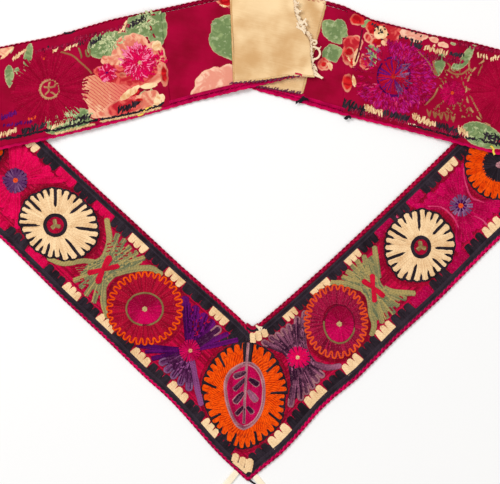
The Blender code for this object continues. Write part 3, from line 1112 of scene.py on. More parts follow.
def pink_rosettes():
    pink_rosette(PINK_LEFT, Oval(-105.2, 97, 17.6, 15.4, 0), "rose", 32, "orange", -80, 262)
    pink_rosette(PINK_RIGHT, Oval(89.4, 82.1, 14.6, 18.4, 0), "plum_red", 31, "coral", 170, 345)


def medallion():
    """The orange medallion in the corner, with its broad black cut above its heart."""
    broad = 84.5
    cuts = (
        (6, 15), (46, 15), (broad, 14), (121, 13.5), (160, 14), (214, 10.5), (256, 10.5), (285.5, 12.5),
        (325, 14),
    )
    long_ones = [Notch(angle, *((13, 4.2) if angle == broad else (6, 0.9)), 1.2) for angle, _ in cuts]
    notches = notches_round(long_ones, (3,) * len(cuts), Notch(0, 5.8, 0.55, 1.7))
    look = {"uneven": 0.9, "tip": 1.8}
    notched("black", MEDALLION, notches, 0.45, UNDERLAY, parted=0, grow=1.5, shade=0.3, **look)
    weave = {"pitch": 1.5, "variety": 0.12, "stripe": 0.26}
    radial("orange", scaled(MEDALLION, 0.35), scaled(MEDALLION, 0.86), ROSETTE, 0.55, twist=-22, **weave)
    notched("orange", MEDALLION, notches, 0.8, ROSETTE + 0.02, shade=0.6, pitch=1.4, **look)
    for angle, depth in cuts:
        if angle != broad:
            length = rim(MEDALLION, angle)
            ends = polar(MEDALLION, [angle, angle + 2], [length + 1, length - depth])
            petal("black", ends, (2.8, 2.1, 1.3), ORNAMENT, tip=0.6, root=1, shade=0.3)
    petal("black", ((-2.8, 42), (-1.8, 63)), (7.4, 9, 10.4), ROSETTE + 0.2, tip=0.5, shade=0.3)
    leafy_heart()


def leafy_heart():
    """The medallion's pointed heart, with a leafy stem in it."""
    near = (
        (-3.6, 45.1), (-13.5, 40.7), (-20.7, 35.1), (-25.1, 26.3), (-25.9, 16.8), (-24.3, 4.8),
        (-20.7, -7.1), (-15.1, -18.3), (-10.6, -22.4), (-6.2, -23.9),
    )
    far = (
        (-3.6, 45.1), (2.4, 43.5), (8, 39.1), (12, 32.7), (14.4, 24), (15.2, 15.2), (14.4, 4.8), (12, -5.6),
        (7.2, -14.3), (0.8, -20.7), (-6.2, -23.9),
    )
    middle = np.array((-5, 11))
    sides = [middle + (curve(side, 40) - middle) * 0.92 for side in (near, far)]
    ruled("magenta", *sides, ROSETTE + 0.2, shade=0.55, variety=0.2, pitch=1.4)
    for side in sides:
        for index in range(3):
            line = middle + (side - middle) * (1.065 - 0.05 * index)
            sew("mauve", line, ORNAMENT + 0.02, 0.74, 0.45 + stray(0.25))
    blades = (
        ((-3.5, 34), (-16.8, 29), 6.6, 0.05), ((-4, 28), (-16.5, 15.6), 5.4, 0.05),
        ((-6.5, 14), (-16.2, 2.8), 7, 0.05), ((-6.5, -0.5), (-14.5, -9), 5.2, 0.05),
        ((-1.2, 27.5), (9.2, 20.6), 6.8, 0.05), ((-2, 16), (7, 4.4), 7.2, 0.55),
        ((-3, -0.5), (3.5, -7.4), 5.6, 0.05),
    )
    for root, tip, width, shade in blades:
        root, tip = np.array(root), np.array(tip)
        inner_tip = tip - (tip - root) / np.linalg.norm(tip - root)
        petal("mauve", (root, tip), (2.4, width, width), ORNAMENT + 0.03, shade=0.4, tip=width * 0.45)
        inside = (1.8, width - 1.8, width - 2.2)
        petal("plum", (root, inner_tip), inside, LINE + 0.02, shade=shade, tip=width * 0.3, root=0.4)
    stem = ((-1.8, 63.5), (-3.2, 45), (-4.4, 24), (-5.4, 4), (-6.2, -17.8))
    petal("mauve", stem, (2.6, 2.2, 2.6), LINE + 0.04, shade=0.35, tip=1.2)
    petal("plum", ((-5.4, -2), (-6.1, -16.5)), (1, 1.4, 1.6), LINE + 0.1, shade=0.1, tip=1)


def green_flower(middle, sides, flecks, body, finger_groups, finger_width, tendrils, strokes, arms):
    """A green hourglass with fingers at both sides, four tendrils, red stitches and a red cross."""
    look = {"pitch": 1.8, "variety": 0.34}
    hourglass("sage", *sides, flecks, **body, **look)
    for shade, tips in finger_groups:
        fingers("sage", middle, tips, LEAF + 0.12, finger_width, shade=shade, **look)
    for width, shades, points in tendrils:
        tendril("sage", points, width, shades)
    for x, y, length, angle in strokes:
        place, way = np.array((x, y)), flat(angle) * length / 2
        sew("crimson", [place - way, place, place + way], LEAF + 0.2, 0.46, 0.55, step=1.2)
    for angle, length, width in arms:
        ends = (middle - flat(angle), middle + flat(angle) * length)
        widths = (width * 0.4, width * 0.75, width, width * 0.95)
        petal("red", ends, widths, ORNAMENT, shade=0.5, tip=width * 0.7, variety=0.15)


def left_green_flower():
    upper = ((-137.5, 167.5), (-144.3, 157), (-149.5, 149), (-159, 144.4), (-176, 138))
    lower = ((-106, 144.5), (-118, 137.5), (-131, 131.6), (-140.5, 123.6), (-148.5, 108))
    finger_groups = (
        (0.5, ((-131.5, 173), (-124.5, 167.3), (-118.8, 159.8), (-111.8, 154.2), (-104.7, 148.5))),
        (0.6, ((-176.8, 124.9), (-170.4, 118.2), (-164.7, 110.2), (-156.4, 102.6))),
    )
    tendrils = (
        (5.6, (0.4, 0.9), ((-148, 143), (-144, 154), (-140.4, 166), (-143.4, 188))),
        (5.8, (0.5, 0.75), ((-140, 130), (-120, 136.2), (-106.4, 137.8), (-97.5, 137.4), (-87.5, 131))),
        (4.8, (0.4, 0.8), ((-153, 144), (-165, 145.2), (-187.5, 142.6), (-202.7, 148.4))),
        (5.2, (0.5, 0.75), ((-145, 125), (-146.4, 113), (-146.2, 101.3), (-142.1, 88))),
    )
    strokes = (
        (-171.5, 139.6, 15, 4), (-172, 137.4, 14, 5), (-172.5, 135.2, 12, 6), (-173.5, 133, 9, 6),
        (-164, 121.5, 5, 0), (-162, 125, 3, 30), (-141, 162, 4, 20), (-139.8, 158.8, 6, 14),
        (-131.5, 159.6, 4.5, -4), (-130, 162, 3.5, -8), (-141.5, 155, 4, 20), (-124.4, 150.3, 5, 12),
        (-129, 147.3, 4.5, 12), (-122.5, 153, 3, 20), (-137, 165, 3, 20), (-117, 153.5, 3, 40),
        (-133.5, 155, 3, 0), (-126, 157, 3, 30), (-119, 147.6, 3, 20), (-168, 141.4, 12, 3),
        (-153, 114, 3, -60), (-158, 112, 3, -60), (-168, 127, 4, 10), (-134, 151, 2.4, 10),
        (-128, 153, 2.4, 10),
    )
    arms = ((61.4, 16, 6), (13, 17, 4.6), (247.8, 15.2, 5.8), (192.7, 16, 4.4))
    body = {"shade": 0.4, "full": 0.82}
    green_flower((-146.9, 136.4), (upper, lower), 130, body, finger_groups, 5.2, tendrils, strokes, arms)


def right_green_flower():
    upper = ((93, 127), (103, 119.8), (111, 115), (116.5, 108), (119, 96), (126, 83.5))
    lower = ((122, 152), (127, 140), (129, 128), (132, 120.5), (141, 115.5), (156, 111))
    finger_groups = (
        (0.58, ((113.3, 151.3), (106.3, 146.2), (101.2, 141.3), (96, 135.4), (91.4, 129.3))),
        (0.58, ((156.6, 106.7), (149, 99.7), (144.5, 92), (137.5, 86.9), (132.4, 82.5))),
    )
    lines = (
        ((129, 128), (127.6, 137), (126, 147), (124.4, 160.3)),
        ((111, 117), (101, 120.6), (93, 122.6), (80.1, 123.6)),
        ((134, 118.5), (142, 114.6), (150, 113.4), (165.6, 112.6)),
        ((119.5, 104), (121, 92), (124.2, 81), (121.2, 70)),
    )
    tendrils = [(5.2, (0.5, 0.75), line) for line in lines]
    strokes = (
        (147, 104, 5, -35), (141, 97, 5, -50), (151, 109, 4, -25), (135, 91, 5, -60), (104, 143, 5, 140),
    )
    arms = ((95, 13.8, 4.4), (147, 13.4, 4.6), (-84, 15.1, 4.2), (-39.6, 14.5, 4.6))
    body = {"shade": 0.42, "full": 0.92}
    green_flower((123.2, 118.5), (upper, lower), 90, body, finger_groups, 5, tendrils, strokes, arms)


def violet_flower():
    middle = (-59.6, 55.5)
    tips = ((-65.4, 110.3), (-54, 101), (-44.5, 93.2), (-36, 86))
    fan("violet", middle, tips, LEAF, 7.6, pitch=1.6, gaps=0.18, variety=0.35)
    flecked("violet", ((-61, 66), (-65.4, 104)), ((-56, 62), (-38, 82)), LEAF + 0.14, 60)
    flecked("crimson", ((-61, 74), (-65, 106)), ((-52, 68), (-36, 84)), LEAF + 0.1, 26)
    flecked("aubergine", ((-66, 50), (-84, 42)), ((-58, 44), (-58, 24)), LEAF + 0.22, 30)
    fingers("aubergine", middle, ((-29.7, 78.6),), LEAF + 0.1, 7.6, share=0.1, line="mauve", shade=0.1)
    thin = (
        (-21.4, 72.6, 4.4, 0.6), (-11.6, 66.4, 4.2, 0.6), (-22, 64.4, 2.6, 0.6),
        (-113.6, 60.6, 4.2, 0.5), (-105, 54.4, 3.4, 0.5), (-98.6, 47.2, 4.4, 0.5), (-106, 58.6, 1.6, 0.5),
    )
    for x, y, width, shade in thin:
        fingers("violet", middle, ((x, y),), LEAF + 0.02, width, share=0.2, shade=shade, variety=0.3)
    tips = ((-90.4, 42.4), (-85, 34.4), (-78, 28), (-70, 21), (-61, 15.6))
    fan("aubergine", middle, tips, LEAF + 0.02, width=6.8, shades=(0.3, 0.2, 0.5), variety=0.3)
    look = {"share": 0.7, "line": "lavender", "shade": 0.4, "variety": 0.3}
    fingers("aubergine", middle, tips, LEAF + 0.16, 6.2, **look)
    tendril("aubergine", ((-58, 48), (-54, 24), (-48.5, 0.2)), 5.6, (0.5, 0.9))
    bloom("magenta", circle(-60.2, 55.5, 11.4), 12, ORNAMENT, 0.62, 8)
    bloom("cream", circle(-59.6, 55.5, 1.9), 5, LINE, 0.3)


def plum_flower():
    middle = (47.6, 48.7)
    first = ((14, 59), (27, 56.5), (36, 50), (39, 40), (41, 22), (41.5, 4))
    second = ((54, 91), (55.5, 72), (56.5, 60), (61, 50), (69, 40), (74, 30))
    hourglass("plum", first, second, 70, shade=0.24, variety=0.2, full=0.96)
    upper = ((12.2, 64.4), (19.4, 69.7), (26, 73), (32.3, 77.4), (38, 81.7), (47.1, 89.3), (55.2, 95))
    lower = ((40.4, -0.6), (51, 6), (57.2, 11.8), (63.4, 17.6), (68.2, 23.8), (73.9, 29.5))
    for tips, width in ((upper, 5.4), (lower, 5.8)):
        fingers("plum", middle, tips, LEAF + 0.12, width, variety=0.28, line="mauve", shade=0.36)
    tendril("plum", ((58, 45), (68, 41), (79, 38.5), (91.5, 40.5)), 5.6, (0.4, 0.85))
    bloom("magenta", Oval(48.4, 48.9, 12.2, 11.6, 0), 12, ORNAMENT, 1, 4, 1.15)
    bloom("hot_pink", Oval(48.4, 48.9, 9.4, 9.2, 0), 10, ORNAMENT + 0.06, 0.8, 20, 1.3)
    bloom("cream", circle(*middle, 1.9), 5, LINE, 0.6)


def spoked_field(thread, middle, reach_along, reach_across, arm, shade):
    """A field of rows that spread from a flower towards both borders, as an X flower's lobes do."""
    middle = np.array(middle, float)
    for way in (1, -1):
        tips = []
        for index in range(9):
            across = way * reach_across * (1 - 0.16 * abs(math.sin(index * 1.7)))
            tips.append(middle + along(arm) * (index - 4) / 4 * reach_along + inward(arm) * across)
        fan(thread, middle, tips, LEAF - 0.02, width=8.4, shades=(shade, shade, shade + 0.15))


def pink_fields():
    left = (-234.3, 225.6)
    spoked_field("hot_pink", left, 34, 35, LEFT, 0.55)
    bloom("violet", circle(*left, 11.4), 18, ORNAMENT, 0.2)
    bloom("lavender", circle(*left, 12.8), 18, ORNAMENT + 0.06, 0.12, 9, 0.62)
    bloom("coral", circle(*left, 2.6), 6, LINE, 0.6)
    right = (210.7, 200.3)
    spoked_field("magenta", right, 33, 33, RIGHT, 0.5)
    pale_lines = (
        ((213.4, 238), (214.6, 226), (221, 209), (234, 203.4)),
        ((177.8, 199.4), (188.5, 199.4), (197, 195), (205, 186), (208.6, 178)),
        ((224, 190), (232, 186), (237, 181)),
        ((146, 190), (151, 185)),
    )
    for line in pale_lines:
        sew("pale_pink", curve(line, 14), LEAF + 0.06, 0.16, 0.2, step=1.5)
    bloom("lavender", circle(*right, 11.6), 11, ORNAMENT, 0.45, width=0.74)
    bloom("violet", circle(*right, 6), 9, ORNAMENT + 0.04, 0.3, width=0.5)
    bloom("coral", circle(*right, 2.6), 6, LINE, 0.6)


def orange_rosette(oval):
    """A round orange flower with short black notches round a black heart."""
    notches = [Notch(360 * index / 27, 6, 0.7, 0.8) for index in range(27)]
    notched("black", oval, notches, 0.4, UNDERLAY, parted=0, grow=1.8, tip=3.2, shade=0.3)
    notched("orange", oval, notches, 0.46, ROSETTE + 0.02, tip=2.2, shade=0.55)
    heart = circle(oval.x, oval.y, 3.5)
    radial("black", heart, circle(oval.x, oval.y, 17), ROSETTE + 0.04, shade=0.3)
    bloom("mauve", heart, 6, ORNAMENT, 0.6)


def channels():
    """Crimson rows that go round the round motifs."""
    wide = [larger(oval, 1.6) for oval in (CREAM_LEFT, CREAM_RIGHT, ORANGE_LEFT, ORANGE_RIGHT)]
    for oval in (*wide, PINK_LEFT, PINK_RIGHT, MEDALLION):
        for index in range(4):
            ring("crimson", larger(oval, 0.6 + 1.1 * index), CHANNEL, 0.72, 0.35 + stray(0.2))


# ---- The printed lining ----

# Places in plan on the strips that come back. A leaf's row is its stalk, its tip and its width.
LEAVES = (
    (LEFT, (
        (-219, 363, -225, 334, 8), (-235, 338, -226, 330, 6), (-241, 341, -240, 318, 9),
        (-238, 361, -239, 352, 4), (-162, 354, -122, 371, 25), (-158, 350, -136, 366, 18),
        (-124, 374, -84, 393, 27), (-95, 396, -92, 356, 22), (-204, 280, -158, 294, 17),
        (-206, 283, -156, 293, 22), (-204, 274, -156, 286, 12), (-108, 304, -101, 314, 8),
        (-96, 306, -99, 318, 6), (-39, 374, -12, 348, 24), (-38, 385, -12, 366, 20),
        (-28, 388, -14, 352, 20), (-30, 378, -20, 391, 12), (-34, 364, -14, 345, 12),
        (-65, 401, -55, 407, 6),
    )),
    (RIGHT, (
        (72, 384, 98, 369, 14), (73, 382, 92, 362, 15), (84, 385, 97, 374, 12), (72, 350, 93, 356, 16),
        (80, 362, 86, 343, 13), (111, 379, 124, 388, 6), (117, 358, 129, 356, 9), (121, 356, 124, 339, 8),
        (192, 353, 186, 328, 11), (201, 336, 214, 344, 8), (210, 338, 224, 362, 9), (224, 361, 231, 364, 4),
        (212, 279, 252, 268, 18), (214, 270, 252, 258, 12),
    )),
)
# A petal's row is its middle, half its width and height, and its turn.
PETALS = (
    (LEFT, "peach", (
        (-117.5, 360, 17.5, 12, 0), (-140, 343.5, 10, 5.5, 150), (-160, 322, 8, 6, 40),
        (-104, 303, 16, 11, 25), (-146, 296, 16, 8, 15), (-93, 346, 9, 20, 8), (-100, 326, 13, 7, 20),
        (-245, 356, 8, 5, 30), (-131, 350, 8, 7, 0),
    )),
    (LEFT, "coral", ((-134, 331, 22, 9, 165), (-112, 333, 22, 13, 10), (-128, 298, 20, 8, 15))),
    (LEFT, "streaked", ((-149, 313, 20, 19, 150), (-134, 316, 22, 14, 160))),
    (LEFT, "scarlet", (
        (-86, 332, 4, 13, 5), (-116, 314, 6, 4, 30), (-112, 304, 6, 3, 30), (-126, 331, 8, 2.4, 5),
        (-24, 405, 10, 6, -10),
    )),
    (LEFT, "ivory", (
        (-120, 313, 12, 3.5, 35), (-101, 320, 9, 3, 8), (-89, 307, 4, 5, -10), (-94, 303, 2.5, 10, -12),
        (-93, 360, 5, 5, 15), (-243, 352, 9, 1.4, 42), (-127, 343, 4, 3.2, 60), (-25, 399.5, 7, 1, -15),
    )),
    (LEFT, "blush", (
        (-38, 324, 16, 14, 25), (-22, 331, 12, 10, 15), (-20, 322, 10, 12, 0), (-47, 313, 12, 10, 10),
    )),
    (LEFT, "leaf", ((-103.5, 309, 6, 7, 60), (-119, 309, 4, 2.2, 40))),
    (RIGHT, "coral", (
        (74, 341.5, 6.6, 6.4, 0), (103, 362, 10, 9, 0), (97, 352, 5, 12, 0), (115, 344, 5.5, 9, 0),
        (136, 371, 13, 11, -15), (146, 374, 9, 6, -20), (118, 368, 4, 6, 30),
    )),
    (RIGHT, "scarlet", (
        (73.6, 341.6, 4, 4.4, 0), (99, 354, 5.5, 5, 10), (102, 344, 4, 6, 0), (97, 323, 5, 9.4, 0),
        (107, 386, 7.6, 5.8, -20), (124, 377, 9, 7, -25), (128, 364, 9, 5, 10),
    )),
    (RIGHT, "ivory", (
        (80, 340, 2.4, 4.6, 20), (106, 349, 2.6, 9.5, -12), (98.5, 347.5, 1, 4, 30),
        (104, 325, 1.9, 6.4, 10), (130.5, 373, 7, 6.6, 0), (133, 362, 2, 4, 0), (184, 360, 2, 1.4, 60),
    )),
    (RIGHT, "blush", (
        (156, 373, 6, 5.6, -15), (166, 369, 7, 6.2, -15), (174, 369, 4, 2.6, -5), (184, 366, 5, 3, -15),
        (193, 361, 6, 2.6, -15),
    )),
    (RIGHT, "leaf", ((203, 362, 3, 1.6, -15),)),
)
# Each printed colour's deep and pale shades. A later one covers those before it.
PRINT_LOOKS = {
    "leaf": (eye(108, 130, 82), eye(142, 160, 106)),
    "peach": (eye(216, 112, 92), eye(240, 182, 146)),
    "streaked": (eye(222, 140, 108), eye(240, 190, 150)),
    "coral": (eye(184, 30, 44), eye(226, 96, 86)),
    "scarlet": (eye(166, 6, 22), eye(212, 30, 34)),
    "ivory": (eye(224, 164, 112), eye(248, 220, 172)),
    "blush": (eye(226, 146, 124), eye(244, 196, 168)),
}
PRINT_REACH = 12  # no distance beyond this is kept


def leaf_distance(spots, base, tip, width):
    """How far spots are outside a leaf with a toothed rim, and less than 0 in it."""
    length = math.dist(base, tip)
    way = (tip - base) / length
    offset = spots - base
    run = offset @ way
    across = np.abs(offset @ np.array((-way[1], way[0])))
    share = np.clip(run / length, 0, 1)
    wide = width / 2 * np.sin(math.pi * share**0.8) ** 0.7 + 0.7 * np.abs(np.sin(run * 0.9)) - 0.3
    return np.maximum(across - wide, np.maximum(-run, run - length))


def petal_distance(spots, centre, wide, high, turn):
    """The same for a petal with a wavy rim."""
    offset = spots - centre
    way = flat(turn)
    u = offset @ way
    v = offset @ np.array((-way[1], way[0]))
    around = np.arctan2(v, u)
    wavy = 1 + 0.06 * np.sin(3 * around + wide) + 0.04 * np.sin(7 * around + high)
    return (np.hypot(u / wide, v / high) - wavy) * min(wide, high)


def printed(mesh, spots):
    """Gives the cloth's back the distances to the printed shapes, and scatters more of them over the V."""
    distances = {colour: np.full(len(spots), float(PRINT_REACH)) for colour in PRINT_LOOKS}

    def merge(colour, distance):
        distances[colour] = np.minimum(distances[colour], distance)

    for arm, leaves in LEAVES:
        for x, y, tip_x, tip_y, width in leaves:
            merge("leaf", leaf_distance(spots, unfolded(arm, (x, y)), unfolded(arm, (tip_x, tip_y)), width))
    for arm, colour, petals in PETALS:
        outward = CREASES[arm.name].outward
        line_angle = math.degrees(math.atan2(outward[0], -outward[1]))
        for x, y, wide, high, turn in petals:
            merge(colour, petal_distance(spots, unfolded(arm, (x, y)), wide, high, 2 * line_angle - turn))
    scatter = np.random.default_rng(5)
    for arm in (LEFT, RIGHT):
        for distance in range(30, 420, 52):
            centre = spot(arm, distance, scatter.uniform(-18, 18))
            wide, high = scatter.uniform(12, 20), scatter.uniform(9, 15)
            merge("peach", petal_distance(spots, centre, wide, high, 40))
            merge("coral", petal_distance(spots, centre + (6, 5), scatter.uniform(7, 10), 7, 10))
            for turn in scatter.uniform(0, 360, 2):
                merge("leaf", leaf_distance(spots, centre + flat(turn) * 13, centre + flat(turn) * 38, 16))
    for colour, distance in distances.items():
        number(mesh, colour, np.tile(np.clip(distance, -PRINT_REACH, PRINT_REACH), 2))


STREAK_PITCH = 0.0028


def printed_cotton():
    """Crimson cotton printed with leaves and roses, worn and faintly crumpled."""
    material, tree, sockets = new_material("printed_cotton", 0.85)
    place = own_place(tree)
    weave = add(tree, "ShaderNodeGroup", {"Thread Width": 0.0005}, node_tree=PLAIN_WEAVE).outputs
    broad = noise(place, 30, 5)
    fine = noise(place, 260, 3)
    strokes = noise(place, 95, 3, Distortion=1.6)
    colour = blended(broad.stepped(0.3, 0.7), eye(134, 0, 34), eye(166, 0, 52))
    for name, (deep, pale) in PRINT_LOOKS.items():
        distance = fine * 1.6 + measured(tree, name) - 0.8
        own = blended((distance * 0.02 + strokes).stepped(0.34, 0.6), deep, pale)
        if name == "streaked":
            own = blended(part(place, 0).stepped(-0.152, -0.116), own, eye(226, 104, 96))
            down = part(mapped(place, Rotation=(0, 0, math.radians(36))), 1)
            wave = (down * (math.tau / STREAK_PITCH) + broad * 12 + strokes * 6).sine()
            own = blended(wave.stepped(0.66, 0.94), own, eye(196, 60, 72))
        elif name == "leaf":
            own = blended(fine.stepped(0.56, 0.66) * 0.35, own, eye(206, 214, 170))
            own = blended(distance.stepped(-0.9, -0.3) * 0.45, own, eye(226, 196, 160))
        else:
            patchy = distance.stepped(-2, -0.8) * broad.stepped(0.4, 0.6) * 0.6
            own = blended(patchy, own, eye(240, 186, 150))
        colour = blended(distance.stepped(0.15, -0.15), colour, own)
    colour = blended(Value(weave["Slubs"]) * 0.012, colour, eye(230, 150, 150))
    plug(colour, sockets["Base Color"])
    bumped(tree, sockets, Value(weave["Relief"]) * 0.15 + broad, 0.0012, 0.35)
    return material


# ---- What shows on the back of the strips ----

BACK = LINING - 0.05  # the height of the threads on it
Ticks = namedtuple("Ticks", "thread x y to_x to_y count length")
TICKS = (
    (LEFT, (
        ("black", -171, 362, -165, 364, 3, 4), ("black", -159, 361, -149, 368, 6, 6),
        ("black", -120, 380, -104, 388, 8, 6), ("cream", -127, 376, -123, 384, 4, 5),
        ("cream", -132, 373, -126, 377, 4, 4), ("cream", -185, 356, -173, 362, 5, 4),
        ("cream", -197, 354, -191, 357, 4, 3), ("cream", -237, 346, -224, 356, 8, 5),
        ("black", -228, 274, -204, 281, 11, 7), ("black", -180, 283, -160, 290, 9, 7),
        ("black", -132, 295, -111, 303, 10, 7), ("cream", -249, 270, -232, 276, 7, 5),
        ("cream", -200, 278, -186, 283, 7, 5), ("coral", -208, 348, -205, 348, 2, 3),
        ("coral", -222, 286, -213, 289, 5, 3), ("violet", -249, 288, -232, 293, 7, 6),
        ("violet", -246, 280, -216, 284, 9, 4),
    )),
    (RIGHT, (
        ("black", 93, 303, 115, 294, 12, 10), ("cream", 114, 299, 133, 292, 9, 7),
        ("black", 133, 294, 158, 286, 12, 8), ("cream", 162, 290, 185, 281, 12, 7),
        ("black", 186, 281, 208, 273, 12, 8), ("cream", 208, 276, 218, 271, 6, 8),
        ("black", 234, 270, 250, 264, 9, 8), ("black", 160, 362, 172, 358, 7, 6),
        ("cream", 174, 359, 197, 352, 8, 6), ("black", 199, 352, 214, 350, 7, 4),
        ("cream", 226, 351, 242, 347, 4, 5), ("black", 122, 382, 134, 372, 5, 3),
        ("black", 148, 369, 172, 363, 7, 3), ("plum_red", 158, 352, 214, 344, 26, 6),
        ("plum_red", 206, 362, 250, 354, 16, 4), ("cream", 240, 346, 250, 349, 3, 5),
        ("plum_red", 100, 296, 214, 270, 44, 5),
    )),
    (LEFT, (("plum_red", -214, 354, -160, 366, 20, 4), ("plum_red", -176, 366, -120, 380, 20, 5))),
)


def back_thread(arm, thread, places, radius, shade=0.5, smoothly=True, level=BACK):
    """A thread that lies on the back of a strip along places in plan."""
    line = curve(places, 6 * len(places)) if smoothly else np.asarray(places, float)
    sew(thread, unfolded(arm, line), level, radius, shade, rows=back_rows, step=1.5)


def stitch(arm, thread, centre, way, radius, shade, level=BACK):
    """A straight stitch that runs as far to both sides of its centre."""
    back_thread(arm, thread, (centre - way, centre + way), radius, shade, False, level)


def fuzzy_line(arm, thread, places, width, shade=0.3, radius=0.34, share=0.85):
    """Many short stitches that wander about a line, such as the back of a chain-stitched edge."""
    line = curve(places, 90)
    total = lengths(line)[-1]
    for run in np.arange(0.5, total, 1):
        if between(0, 1) > share:
            continue
        ahead = cut(line, [min(run + 1, total)])[0] - cut(line, [max(run - 1, 0)])[0]
        slope = math.degrees(math.atan2(ahead[1], ahead[0]))
        centre = cut(line, [run])[0] + flat(slope + 90) * stray(0.5) * width
        way = flat(slope + stray(40)) * between(0.9, 1.7)
        stitch(arm, thread, centre, way, radius, shade + stray(0.2))


def scattered(arm, thread, oval, inner, count, length, radius, shade=0.6, start=0, finish=360):
    """Short stitches that point roughly away from an oval's middle."""
    for _ in range(count):
        angle = between(start, finish)
        span = rim(oval, angle)
        centre = polar(oval, [angle], [inner + (span - inner) * between(0, 1) ** 0.7])[0]
        way = flat(angle + stray(38)) * length * between(0.25, 0.6)
        tone = shade + stray(0.3)
        stitch(arm, thread, centre, way, radius * between(0.7, 1.2), tone)


def tick_group(arm, group):
    """Slanted stitches side by side, such as those that hold the edge's blocks."""
    start, finish = np.array((group.x, group.y)), np.array((group.to_x, group.to_y))
    count = round(group.count * 1.35)
    for index in range(count):
        centre = start + (finish - start) * (index + 0.5) / count + stray(0.8, 2)
        way = flat(90 + between(-38, 12)) * group.length * between(0.3, 0.55)
        shade = between(0.2, 0.8)
        radius = between(0.14, 0.25) * (0.65 if group.thread == "cream" else 1)
        stitch(arm, group.thread, centre, way, radius, shade)


def back_spokes(arm, thread, middle, inner, outer, count, shade=0.5, radius=0.4, share=1, start=0):
    """Stitches that stand round a middle."""
    middle = np.array(middle, float)
    for index in range(count):
        if between(0, 1) > share:
            continue
        way = flat(start + 360 * (index + stray(0.25)) / count)
        near, far = inner * between(0.9, 1.3), outer * between(0.82, 1)
        ends = (middle + way * near, middle + way * far)
        back_thread(arm, thread, ends, radius, shade + stray(0.2), False)


def back_ring(arm, middle, radius, width, start=0, finish=360, dashed=False):
    """A thin tan line round a middle."""
    angles = np.linspace(start, finish, max(8, int(abs(finish - start) / 8)))
    line = polar(circle(*middle, radius), angles, radius)
    for part in zip(line[::2], line[1::2]) if dashed else (line,):
        back_thread(arm, "tan", part, width, smoothly=False)


BACK_DRAWINGS = (back_thread, fuzzy_line, scattered, back_spokes, back_ring)


def backs_of_the_left_strip():
    """The wheel, the rose, the bud, the leaves and the edges' dark lines, from behind."""
    thread, fuzzy, scatter, spokes, ring_round = (partial(draw, LEFT) for draw in BACK_DRAWINGS)
    wheel, rose, bud = (-200.5, 316.5), (-110, 343), (-143, 333)
    spokes("crimson_back", wheel, 11, 40, 110, radius=0.34)
    ring_round(wheel, 9.8, 0.12, dashed=True)
    ring_round(wheel, 9, 0.09, 100, 330)
    hooks = (
        ((-206, 319), (-202, 318), (-201, 315), (-205, 311)),
        ((-200, 324), (-201, 319), (-196, 319), (-194, 322)), ((-199, 314), (-196, 312), (-193, 309)),
    )
    for hook in hooks:
        thread("tan", hook, 0.16, 0.4)
    for leaf in (Oval(-142, 363, 19, 8, 22), Oval(-104, 384, 18, 9, 25), Oval(-180, 288, 24, 6, 14)):
        scatter("pale_green", leaf, 1, 70, 3, 0.2)
    branch = ((-189, 354), (-177, 350), (-169, 343), (-161, 336), (-158, 332))
    thread("tan", branch, 0.12, 0.1)
    twigs = ((-171, 358), (-169, 352), (-168, 348)), ((-164, 356), (-163, 350), (-160, 350), (-160, 357))
    for twig in twigs:
        thread("olive", twig, 0.12, 0.2)
    spokes("hot_pink", rose, 2.5, 17.5, 54, 0.5, 0.5)
    spokes("magenta", rose, 6, 16, 34, 0.8, 0.36)
    scatter("hot_pink", circle(*rose, 18), 8, 70, 4, 0.4)
    scatter("pale_pink", Oval(-112, 345, 18, 17, 0), 4, 110, 5, 0.27, 0.8)
    spokes("cream", rose, 0.3, 2, 7, 0.3, 0.3)
    spokes("hot_pink", bud, 1.2, 9.5, 30, 0.5, 0.5)
    scatter("pale_pink", circle(*bud, 9), 3, 26, 4, 0.24, 0.7)
    spokes("violet", bud, 0.3, 2.4, 7, 0.6, 0.36)
    scatter("hot_pink", Oval(-90, 347, 7, 8, 0), 1, 22, 4, 0.4)
    for x, y, turn in ((-97, 391, 10), (-101, 385, 40), (-99, 377.5, 100), (-96, 370, 115)):
        stitch(LEFT, "crimson_back", np.array((x, y)), flat(turn) * 2.2, 0.55, 0.4)
    fuzzy("black", ((-252, 266), (-225, 270.5), (-198, 276.5)), 1.8, radius=0.28)
    fuzzy("black", ((-197, 275), (-175, 281), (-152, 286)), 2.2)
    fuzzy("black", ((-150, 286), (-120, 292), (-92, 300), (-86, 303)), 1.2, radius=0.18)
    fuzzy("hem_cotton", ((-196, 271.6), (-175, 276.8), (-154, 282)), 0.8, radius=0.2, share=0.6)
    fuzzy("hem_cotton", ((-150, 284), (-120, 290), (-90, 298)), 0.5, 0.4, radius=0.2, share=0.7)
    thread("loose_yellow", ((-112, 290), (-107, 292), (-105, 296), (-98, 299)), 0.42, 0.6)
    thread("black", ((-186, 373), (-180, 372.5), (-175, 375)), 0.5, 0.4)
    thread("black", ((-202, 360), (-201, 358)), 0.9, 0.4, False)


